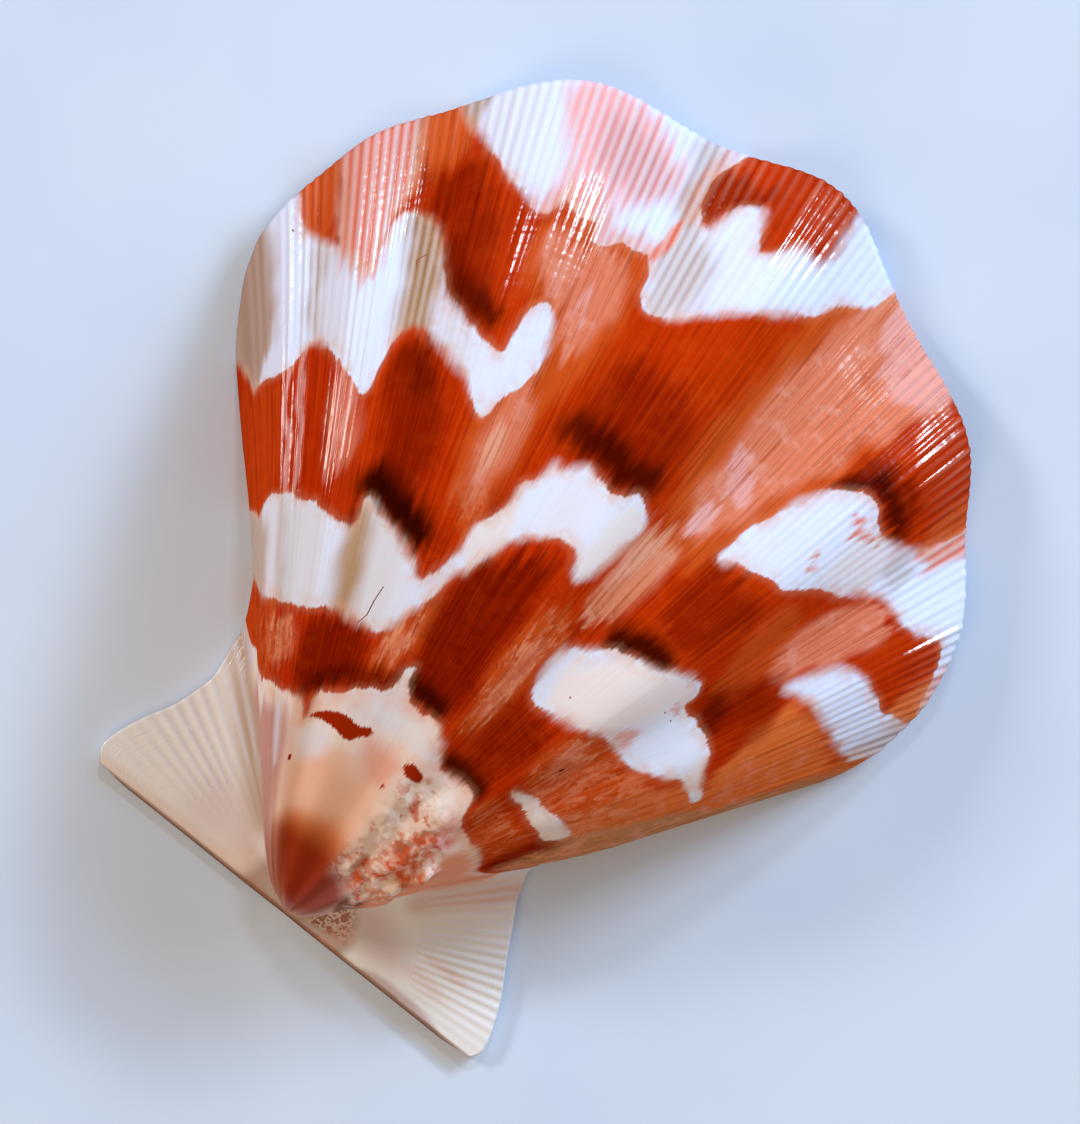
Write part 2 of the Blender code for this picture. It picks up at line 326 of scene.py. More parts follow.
def inner_row(margin, stage):
    """The inner side's points at a stage: hollow under the disc, flat under the ears and beak."""
    hollow_stage = max(stage, CAVITY_STAGE)
    up = margin.ear[:, None] * (0, 0, 1)
    across_wall = (1 - margin.ear[:, None]) * outward(margin, hollow_stage) + up
    across_wall[:, 2] = np.maximum(across_wall[:, 2], 0)
    across_wall /= np.linalg.norm(across_wall, axis=1, keepdims=True)
    thick = smooth(*WALL_THICKENS, hollow_stage) * (1 - smooth(*WALL_THINS, hollow_stage))
    wall = RIM + (WALL - RIM) * thick
    wall = wall * (1 - margin.thinning * (1 - smooth(*THINNING_GOES, hollow_stage)))
    row = growth_line(margin, hollow_stage) - wall[:, None] * across_wall
    row[:, 2] = np.maximum(row[:, 2], 0) if stage < 1 else margin.fold

    # Before the cavity, the row shrinks to the hinge line and comes down to the hinge plate.
    share = stage / hollow_stage
    row[:, :2] *= share**NARROWING
    row[:, 1] -= margin.lip * (1 - smooth(*LIP_GOES, stage))
    row[:, 2] *= 1 - min((1 - share) / (1 - HINGE_PLATE), 1) ** 2
    pit = smooth(*PIT_COMES, share) * (1 - smooth(*PIT_GOES, share))
    row[:, 2] += PIT_DEPTH * pit * (1 - smooth(*PIT_ANGLES, abs(margin.angle)))
    return row


# ------------------------------------------------------------------------------------- its colours

# Pigments, in the usual 0 to 255.
VERMILION = (187, 47, 4)
ORANGE = (206, 88, 34)
MAROON = (125, 20, 1)
BLACKISH = (30, 2, 0)
SALMON = (228, 136, 106)
PINK = (240, 184, 184)
WHITE = (226, 231, 252)
BRIGHT = (250, 252, 255)
# BEIGE is mostly painted warm shade: in fold valleys, on the left flank, by the disc's walls.
BEIGE = (180, 142, 104)
OCHRE = (214, 114, 50)
# This rust is brighter than the flank's own colour: painted light glowing through the thin flank.
GLOWING_RUST = (232, 122, 60)
AMBER = (216, 120, 52)
RED_BROWN = (144, 28, 0)
PEACH = (240, 190, 164)
LILAC = (196, 140, 136)
CREAM = (242, 226, 220)
DULL_PINK = (232, 154, 120)
BROWN = (112, 52, 20)
PORCELAIN = (238, 232, 226)
HORN = (150, 88, 46)

# Pigments of the finer detail, and of the table.
FLAME = (220, 80, 18)
CLAY = (206, 92, 50)
BLUSH = (242, 192, 178)
FLECK = (232, 150, 112)
# The crests' pale at the margin is partly wear and partly a painted highlight.
WORN_AND_HIGHLIGHT_CREST = (242, 176, 150)
# The ear ribs' valleys are tinted with this as painted shade.
EAR_VALLEYS = (172, 148, 164)
CHALK = (250, 232, 226)
CHALK_HOLE = (214, 84, 36)
PIT_WALL = (236, 212, 206)
PIT_FLOOR = (176, 128, 110)
THIN_EDGE = (226, 172, 144)
FLUSH = (238, 168, 142)
FRINGE = (226, 170, 130)
SCRAP = (158, 40, 6)
TABLE_PALE = (208, 224, 250)
TABLE_PALER = (216, 231, 254)

# The shell rolled out flat: this many millimetres from the beak to the margin. Markings are drawn
# there as outlines of (angle, stage), whose corners are rounded off. Depths inside an outline are
# told apart up to FAR.
ROLLED_OUT = 41.0
FAR = 3.0

# How far soft markings fray across the riblets, in degrees, and along them, in stages, with the
# grains of either noise for each degree and stage.
FRAY_ACROSS = 0.7
FRAY_ALONG = 0.022
ACROSS_GRAINS = (0.35, 26.0)
ALONG_GRAINS = (1.5, 7.0)
FINER_GRAINS = 2.3
FINER_SHARE = 0.5
FRAY_BEGINS = (0.22, 0.42)

# Soft edges of the coloured layer are drawn a little crisper than given, as they fray too.
CRISPER = 0.75

# The white patches, and the pale umbo.
WHITE_PATCHES = [
    [  # from the margin down, left of the middle
        (-27, 1.04), (-26.3, 0.98), (-24.8, 0.95), (-23.3, 0.91), (-22, 0.88), (-20.8, 0.86), (-19.6, 0.84),
        (-18.4, 0.85), (-17.6, 0.87), (-17.8, 0.91), (-18.6, 0.96), (-20, 0.985), (-19, 1), (-14.5, 0.985),
        (-12, 0.96), (-10.6, 0.94), (-10.5, 0.915), (-12.5, 0.9), (-14, 0.885), (-15.3, 0.87), (-15.2, 0.83),
        (-14, 0.83), (-12.4, 0.85), (-10.6, 0.85), (-9.8, 0.83), (-9.6, 0.8), (-8.6, 0.785), (-6, 0.79),
        (-3.5, 0.815), (-1, 0.835), (1, 0.865), (2.4, 0.885), (3.2, 0.92), (4.6, 0.945), (5.6, 0.98),
        (6.2, 1.04), (0.8, 1.04), (0.3, 0.98), (0.8, 0.945), (0.2, 0.92), (-1.6, 0.925), (-2.6, 0.9),
        (-3.8, 0.888), (-4.2, 0.92), (-4.8, 0.945), (-6.4, 0.938), (-7.1, 0.915), (-7.7, 0.897), (-8.7, 0.92),
        (-8.9, 0.945), (-8.4, 0.97), (-7.7, 0.99), (-7, 1.015), (-6.9, 1.04),
    ],
    [  # left, from the shoulder to the long wedge
        (-50, 1.04), (-38, 1.04), (-37.8, 0.95), (-36.8, 0.922), (-35.4, 0.898), (-34.2, 0.875),
        (-32.4, 0.835), (-31.4, 0.825), (-30.8, 0.87), (-29.4, 0.885), (-27.2, 0.862), (-26, 0.83),
        (-25.4, 0.78), (-24.2, 0.75), (-22, 0.72), (-20, 0.695), (-18.2, 0.686), (-18.2, 0.71), (-17.6, 0.74),
        (-16.2, 0.755), (-15.1, 0.735), (-14.6, 0.7), (-15.2, 0.67), (-16.8, 0.645), (-17.6, 0.615),
        (-18.8, 0.622), (-20.2, 0.65), (-22.6, 0.68), (-25.2, 0.712), (-27, 0.738), (-28.6, 0.725),
        (-29.6, 0.69), (-30.4, 0.662), (-31.8, 0.69), (-33.4, 0.722), (-34.6, 0.752), (-36.4, 0.78),
        (-38.6, 0.765), (-40.6, 0.782), (-42.6, 0.815), (-44.5, 0.87), (-50, 0.9),
    ],
    [  # from the left flank across the middle
        (-50, 0.64), (-41.5, 0.632), (-38.6, 0.61), (-36.6, 0.582), (-33.6, 0.558), (-31.6, 0.53),
        (-29.2, 0.51), (-28.4, 0.515), (-28.3, 0.545), (-27.2, 0.54), (-25.6, 0.516), (-23, 0.497),
        (-20.2, 0.472), (-17.6, 0.444), (-16.2, 0.455), (-15, 0.477), (-14.2, 0.485), (-14.2, 0.515),
        (-12.4, 0.53), (-11.6, 0.55), (-11.4, 0.575), (-10, 0.58), (-9.2, 0.612), (-8.2, 0.6), (-6.4, 0.616),
        (-4.4, 0.61), (-2.2, 0.597), (-0.4, 0.62), (1.2, 0.61), (2.6, 0.6), (1.9, 0.56), (1.2, 0.53),
        (0, 0.51), (-1.2, 0.518), (-2.6, 0.54), (-5, 0.535), (-8.2, 0.524), (-10.2, 0.5), (-12, 0.47),
        (-13.4, 0.465), (-15, 0.435), (-17.2, 0.405), (-19.4, 0.386), (-22, 0.388), (-25.6, 0.4),
        (-28.4, 0.414), (-30.4, 0.426), (-33.4, 0.432), (-36.4, 0.453), (-39.6, 0.478), (-42, 0.505),
        (-44, 0.545), (-50, 0.58),
    ],
    [  # tinted pink, at the margin left of the middle
        (-35, 1.04), (-34.7, 0.95), (-34.8, 0.89), (-34, 0.86), (-32, 0.82), (-31, 0.83), (-30.4, 0.88),
        (-29.4, 0.9), (-29, 0.95), (-29.2, 1.04),
    ],
    [  # tinted pink, next to the middle
        (-21, 1.04), (-20, 0.95), (-18.6, 0.88), (-17.4, 0.85), (-14.6, 0.85), (-10, 0.84), (-9, 0.9),
        (-9.4, 1.04),
    ],
    [  # right of the middle, from the margin down
        (9.8, 0.652), (9.8, 0.69), (10.5, 0.73), (11.5, 0.775), (12.2, 0.808), (13.6, 0.83), (14.8, 0.851),
        (16, 0.858), (17.2, 0.848), (18.8, 0.862), (20.2, 0.89), (21.2, 0.92), (21.8, 0.955), (22, 1.04),
        (34.8, 1.04), (34, 0.988), (31.6, 0.98), (29.2, 0.975), (27.8, 0.95), (26.9, 0.912), (25.4, 0.89),
        (23.2, 0.868), (22.1, 0.845), (21.2, 0.812), (19.8, 0.778), (18, 0.748), (16.9, 0.716), (14.8, 0.7),
        (12.4, 0.682), (10.9, 0.664),
    ],
    [  # right, along the edge
        (25.2, 0.71), (25.6, 0.76), (26.4, 0.8), (27.9, 0.837), (29.4, 0.86), (31, 0.885), (32.4, 0.91),
        (33.4, 0.945), (34.2, 0.98), (34.8, 1.04), (37.2, 1.04), (36.6, 0.97), (35.6, 0.92), (34.3, 0.868),
        (32.5, 0.827), (30.2, 0.79), (27.9, 0.757), (26.2, 0.725),
    ],
    [  # right, below the middle
        (3.6, 0.445), (4.8, 0.468), (7, 0.486), (9, 0.51), (12.4, 0.53), (15.2, 0.55), (17.6, 0.578),
        (20, 0.6), (21, 0.588), (20.8, 0.57), (22.4, 0.578), (24.8, 0.6), (27.4, 0.618), (31.4, 0.622),
        (33.2, 0.637), (34.2, 0.652), (34.4, 0.638), (32.4, 0.608), (29.6, 0.587), (28.4, 0.555),
        (26.4, 0.522), (24, 0.495), (20.8, 0.483), (17.6, 0.465), (13.8, 0.437), (9.6, 0.42), (6, 0.404),
        (4.9, 0.42),
    ],
    [  # right, small
        (17, 0.355), (19.8, 0.366), (22.4, 0.384), (25.4, 0.402), (28.6, 0.426), (31.2, 0.45), (33.6, 0.463),
        (33.4, 0.427), (30.8, 0.41), (27.4, 0.39), (23.6, 0.371), (20.2, 0.355),
    ],
    [  # the umbo and what is next to it
        (-50, 0.42), (-44, 0.415), (-42.2, 0.392), (-39.6, 0.373), (-37.2, 0.348), (-34.6, 0.34),
        (-32.2, 0.326), (-31, 0.312), (-30.4, 0.296), (-29.4, 0.296), (-28.7, 0.325), (-26, 0.317),
        (-22, 0.322), (-18, 0.33), (-15.4, 0.326), (-13.9, 0.342), (-14.3, 0.357), (-12, 0.366),
        (-12.4, 0.347), (-10.6, 0.332), (-7.8, 0.321), (-4.6, 0.329), (-1.6, 0.317), (0.4, 0.306),
        (2.6, 0.29), (5.2, 0.292), (8.2, 0.305), (12.8, 0.314), (14.4, 0.3), (17, 0.288), (21, 0.292),
        (25, 0.305), (27, 0.311), (28.4, 0.327), (32, 0.337), (35.2, 0.353), (38, 0.36), (50, 0.3), (50, 0),
        (-50, 0),
    ],
]

# Crisp scraps of the red layer that are left on the pale umbo.
RED_SCRAPS = [
    [
        (-30.2, 0.299), (-26, 0.299), (-21, 0.298), (-18.8, 0.292), (-17, 0.286), (-15, 0.291),
        (-13.2, 0.283), (-15.6, 0.276), (-18.2, 0.267), (-21.5, 0.278), (-25, 0.286), (-28.4, 0.292),
    ],
    [(-4.2, 0.27), (-3, 0.278), (-0.6, 0.277), (1.4, 0.272), (2, 0.265), (-0.6, 0.261), (-3, 0.264)],
    [(-5.9, 0.236), (-5.4, 0.244), (-4.6, 0.243), (-4.8, 0.235)],
]

# Soft patches of the coloured layer: (pigment, strength, softness in millimetres, outline).
GROUND = [
    (ORANGE, 0.85, 1.6, [
        (1, 0.93), (2.4, 0.86), (1.6, 0.76), (1.6, 0.66), (4, 0.62), (9, 0.61), (11, 0.7), (12.2, 0.8),
        (12.6, 0.86), (13.6, 1.04), (5, 1.04),
    ]),
    (SALMON, 0.85, 1, [
        (4.6, 0.96), (3.8, 0.88), (3.4, 0.78), (3.8, 0.68), (5, 0.63), (8, 0.64), (9.4, 0.72), (10.8, 0.8),
        (12, 0.88), (13.2, 0.94), (13.8, 1.04), (6, 1.04),
    ]),
    (PINK, 0.65, 0.8, [(6.2, 1.04), (6.6, 0.965), (8.5, 0.93), (11.5, 0.93), (13.2, 0.96), (13.8, 1.04)]),
    (VERMILION, 1, 0.3, [
        (11.8, 0.79), (12.4, 0.86), (13, 0.9), (13.8, 0.94), (14.2, 1.04), (21.5, 1.04), (21, 0.9),
        (18, 0.86), (15, 0.84),
    ]),
    (PINK, 0.7, 0.5, [(3.8, 0.735), (3.8, 0.715), (6, 0.7), (8, 0.7), (8.2, 0.73), (6, 0.745)]),
    (PINK, 0.9, 0.4, [(5.2, 0.66), (5.8, 0.637), (7, 0.64), (7.6, 0.665), (7, 0.685), (5.6, 0.68)]),
    (ORANGE, 0.7, 1, [
        (-20, 0.84), (-12, 0.86), (-10.2, 0.84), (-10, 0.72), (-12.5, 0.66), (-13.4, 0.52), (-15, 0.5),
        (-17.5, 0.52), (-19.5, 0.6), (-14.8, 0.7), (-19, 0.76),
    ]),
    (SALMON, 0.8, 0.9, [
        (-18.6, 0.83), (-15.4, 0.82), (-12, 0.84), (-10.8, 0.8), (-11.2, 0.74), (-13, 0.7), (-14.4, 0.72),
        (-15, 0.76), (-18.4, 0.77),
    ]),
    (PINK, 0.5, 0.5, [(-14, 0.77), (-12.6, 0.78), (-12.4, 0.75), (-14, 0.745)]),
    (SALMON, 0.7, 0.9, [
        (-15, 0.67), (-13.2, 0.65), (-13.4, 0.6), (-14.4, 0.56), (-15.4, 0.53), (-16.8, 0.55), (-17.6, 0.6),
        (-16.6, 0.645),
    ]),
    (PEACH, 0.5, 0.5, [(-16.4, 0.61), (-14.8, 0.62), (-15, 0.57), (-16.6, 0.56)]),
    (SALMON, 0.85, 0.8, [
        (22.3, 0.85), (24, 0.865), (26.4, 0.875), (26.2, 0.83), (25.6, 0.79), (25, 0.74), (24.8, 0.7),
        (22.6, 0.69), (20.8, 0.73), (21.4, 0.78),
    ]),
    (ORANGE, 0.6, 1, [(18, 0.73), (21, 0.74), (24, 0.68), (23.4, 0.62), (20, 0.62), (18, 0.67)]),
    (DULL_PINK, 0.85, 0.9, [
        (2.4, 0.61), (5, 0.625), (7.6, 0.61), (7.8, 0.57), (6.4, 0.53), (4.6, 0.5), (3, 0.5), (2.4, 0.54),
        (2.8, 0.58),
    ]),
    (PEACH, 0.5, 0.6, [(2.4, 0.6), (4.4, 0.61), (5, 0.58), (4.2, 0.54), (2.6, 0.55)]),
    (ORANGE, 0.75, 1, [
        (-1.6, 0.47), (1, 0.49), (4.6, 0.475), (3.4, 0.44), (4.2, 0.41), (3.4, 0.34), (0, 0.33), (-0.4, 0.36),
        (-2.2, 0.39),
    ]),
    (SALMON, 0.5, 0.7, [(0, 0.44), (2.4, 0.45), (3.2, 0.41), (3.2, 0.36), (1, 0.35), (0.4, 0.39)]),
    (ORANGE, 0.8, 0.7, [
        (-20.6, 0.375), (-17.6, 0.395), (-14.4, 0.43), (-13, 0.44), (-13.4, 0.4), (-14.2, 0.37), (-16, 0.345),
        (-20, 0.35),
    ]),
    (SALMON, 0.7, 0.5, [(-19.4, 0.375), (-17, 0.395), (-15, 0.4), (-14.6, 0.38), (-16.6, 0.36), (-19, 0.36)]),
    (SALMON, 0.5, 0.9, [
        (-40.6, 0.45), (-38, 0.45), (-35.4, 0.43), (-34.6, 0.4), (-36.4, 0.375), (-39.6, 0.4),
    ]),
    (ORANGE, 0.7, 1, [
        (14, 0.425), (17, 0.455), (20, 0.475), (26, 0.5), (30, 0.56), (33, 0.6), (35, 0.6), (34.5, 0.47),
        (30, 0.43), (24, 0.39), (16, 0.36),
    ]),
    (SALMON, 0.55, 0.7, [(16, 0.44), (20, 0.455), (22, 0.44), (22, 0.41), (20, 0.395), (17, 0.405)]),
    (ORANGE, 0.7, 0.8, [(15, 0.33), (24, 0.36), (34, 0.42), (36, 0.37), (27, 0.315), (20, 0.3), (15, 0.3)]),
    (SALMON, 0.7, 0.6, [(-30.2, 1.04), (-28, 1.04), (-28.4, 0.94), (-29.4, 0.9), (-30.4, 0.92)]),
    (ORANGE, 0.6, 0.5, [(20, 1.04), (22.6, 1.04), (22, 0.96), (21.6, 0.92), (20.8, 0.92), (20, 0.96)]),
    (MAROON, 0.8, 2.6, [
        (-9, 0.74), (-4, 0.735), (0.4, 0.71), (0.8, 0.66), (0, 0.61), (-8.6, 0.61), (-9.4, 0.67),
    ]),
    (MAROON, 0.95, 1.3, [
        (-12.4, 0.46), (-9, 0.5), (-4, 0.525), (-2.4, 0.5), (-2.6, 0.42), (-1.4, 0.36), (-2.6, 0.34),
        (-11, 0.35), (-13.4, 0.38), (-14, 0.42),
    ]),
    (MAROON, 0.85, 1.1, [
        (-34, 0.335), (-21, 0.335), (-21.4, 0.38), (-25, 0.395), (-28.4, 0.41), (-33, 0.425), (-34.4, 0.38),
    ]),
    (MAROON, 0.75, 1.4, [
        (4.6, 0.395), (9, 0.41), (14, 0.42), (14.6, 0.38), (13, 0.33), (4, 0.32), (4, 0.36),
    ]),
    (MAROON, 0.75, 1.4, [
        (9.6, 0.64), (10.8, 0.665), (13, 0.675), (16.4, 0.69), (17.6, 0.66), (16.6, 0.59), (11, 0.56),
        (9.6, 0.6),
    ]),
    (MAROON, 0.85, 1.1, [
        (12.2, 0.8), (12.6, 0.85), (13.4, 0.885), (15, 0.91), (18.4, 0.912), (20.2, 0.9), (19.2, 0.87),
        (17.6, 0.855), (16, 0.86), (14, 0.84),
    ]),
    (MAROON, 0.75, 1.3, [
        (-28.4, 0.87), (-26.4, 0.93), (-24.4, 0.92), (-22.6, 0.86), (-21.8, 0.78), (-19.8, 0.72),
        (-22, 0.735), (-25.2, 0.79), (-26, 0.85),
    ]),
    (MAROON, 0.75, 1.3, [
        (-28.4, 0.71), (-26.6, 0.72), (-24, 0.68), (-21.6, 0.62), (-21, 0.54), (-26, 0.55), (-28, 0.6),
        (-28.6, 0.66),
    ]),
    (MAROON, 0.75, 0.9, [
        (-9.4, 0.985), (-8.8, 0.92), (-7.6, 0.89), (-6.4, 0.935), (-4.8, 0.945), (-5, 0.97),
    ]),
    (MAROON, 0.5, 0.7, [(-13.8, 0.55), (-12, 0.56), (-12, 0.535), (-13.6, 0.53)]),
    # Painted shade: beige on the steep left flank.
    (BEIGE, 0.9, 0.9, [(-43, 0.63), (-43, 0.52), (-50, 0.5), (-50, 0.64)]),
    (ORANGE, 0.25, 0.8, [(-39.2, 0.78), (-39, 0.6), (-50, 0.6), (-50, 0.84), (-42, 0.81)]),
    (ORANGE, 0.5, 0.8, [(-39, 0.49), (-38.6, 0.38), (-50, 0.36), (-50, 0.56), (-42, 0.51)]),
    (ORANGE, 0.85, 0.5, [(-38.4, 1.04), (-38, 0.9), (-36, 0.9), (-35, 0.94), (-34.6, 1.04)]),
    (ORANGE, 0.9, 0.8, [
        (-29.4, 1.04), (-28.8, 0.95), (-27.6, 0.915), (-26.2, 0.93), (-25, 0.97), (-25.6, 1.04),
    ]),
    (SALMON, 0.5, 0.8, [(-34.2, 0.7), (-33, 0.71), (-30.2, 0.66), (-29.8, 0.59), (-34.2, 0.59)]),
    # The steep right flank, in the brightened rust: partly painted light.
    (GLOWING_RUST, 0.9, 1.3, [
        (27.2, 0.735), (30, 0.78), (34, 0.85), (36, 0.92), (36.6, 1.04), (40, 1.04), (40, 0.36), (36, 0.4),
        (34.6, 0.44), (31, 0.44), (29, 0.5), (29.4, 0.58), (34, 0.63), (31, 0.64), (28.4, 0.68),
    ]),
    (BEIGE, 0.8, 0.7, [
        (37.6, 1.04), (36.8, 0.85), (36.4, 0.7), (34.6, 0.62), (33.9, 0.56), (33.4, 0.5), (33.5, 0.45),
        (34.6, 0.415), (36.4, 0.37), (44, 0.36), (44, 1.04),
    ]),
    # The same brightened rust at the margin: partly painted light.
    (GLOWING_RUST, 0.85, 0.9, [(31.2, 1), (31.6, 0.94), (33.4, 0.91), (35.5, 1), (34, 1.04)]),
    # Painted highlights: pale stripes along the left flank's rounded ribs, where glints fall.
    (PINK, 0.6, 0.15, [(-39, 0.8), (-38.9, 0.58), (-38.3, 0.58), (-38.3, 0.8)]),
    (PINK, 0.6, 0.15, [(-37.5, 0.82), (-37.5, 0.58), (-36.8, 0.58), (-36.9, 0.82)]),
    (PINK, 0.45, 0.15, [(-33.5, 0.73), (-33.4, 0.58), (-32.9, 0.58), (-33, 0.73)]),
    (PINK, 0.45, 0.15, [(-32.3, 0.72), (-32.2, 0.58), (-31.6, 0.58), (-31.7, 0.7)]),
]

# Soft dark streaks of it: (pigment, strength, half width in millimetres, line). They are full up to
# one share of the half width and gone at another, and fray less than patches do.
STREAK_FADES = (0.15, 1.5)
STREAK_FRAY = 0.45
STREAKS = [
    (BLACKISH, 0.7, 0.7, [(-25.6, 0.815), (-24.9, 0.78), (-23.2, 0.75), (-20.6, 0.725)]),
    (BLACKISH, 0.95, 0.9, [(-27.6, 0.56), (-25.6, 0.54), (-23.2, 0.52), (-20.2, 0.492)]),
    (BLACKISH, 0.75, 0.9, [(-9.2, 0.645), (-7.4, 0.64), (-4.4, 0.632), (-2, 0.628), (-0.6, 0.63)]),
    (BLACKISH, 0.9, 0.75, [(8.8, 0.52), (11, 0.54), (14.6, 0.556)]),
    (BLACKISH, 0.6, 0.35, [(12.5, 0.822), (13.4, 0.842), (14.6, 0.864)]),
    (BLACKISH, 0.65, 0.5, [(14.9, 0.874), (16.4, 0.876), (18.4, 0.88)]),
    (BLACKISH, 0.9, 0.6, [(-12.2, 0.348), (-8.6, 0.341), (-5, 0.336)]),
    (BLACKISH, 0.85, 0.6, [(4, 0.303), (7.6, 0.311), (12.4, 0.319)]),
    (BLACKISH, 0.6, 0.6, [(-30.6, 0.333), (-26, 0.338), (-19, 0.338), (-16, 0.338)]),
    (MAROON, 0.85, 1.1, [(23.4, 0.6), (24.4, 0.645), (25.8, 0.7)]),
    (BLACKISH, 0.45, 0.7, [(23.4, 0.615), (24.2, 0.62), (25.4, 0.61)]),
    (MAROON, 0.5, 0.8, [(26.8, 0.62), (28, 0.69)]),
    (MAROON, 0.8, 0.8, [(34, 0.44), (34.4, 0.41), (35.6, 0.375)]),
    (BLACKISH, 0.45, 0.7, [(-29.2, 0.52), (-28.4, 0.51)]),
    (RED_BROWN, 0.6, 0.9, [(-27.6, 0.92), (-26.2, 0.86), (-25.4, 0.8)]),
    (BLACKISH, 0.35, 0.8, [(-26.2, 0.7), (-24.8, 0.66)]),
]
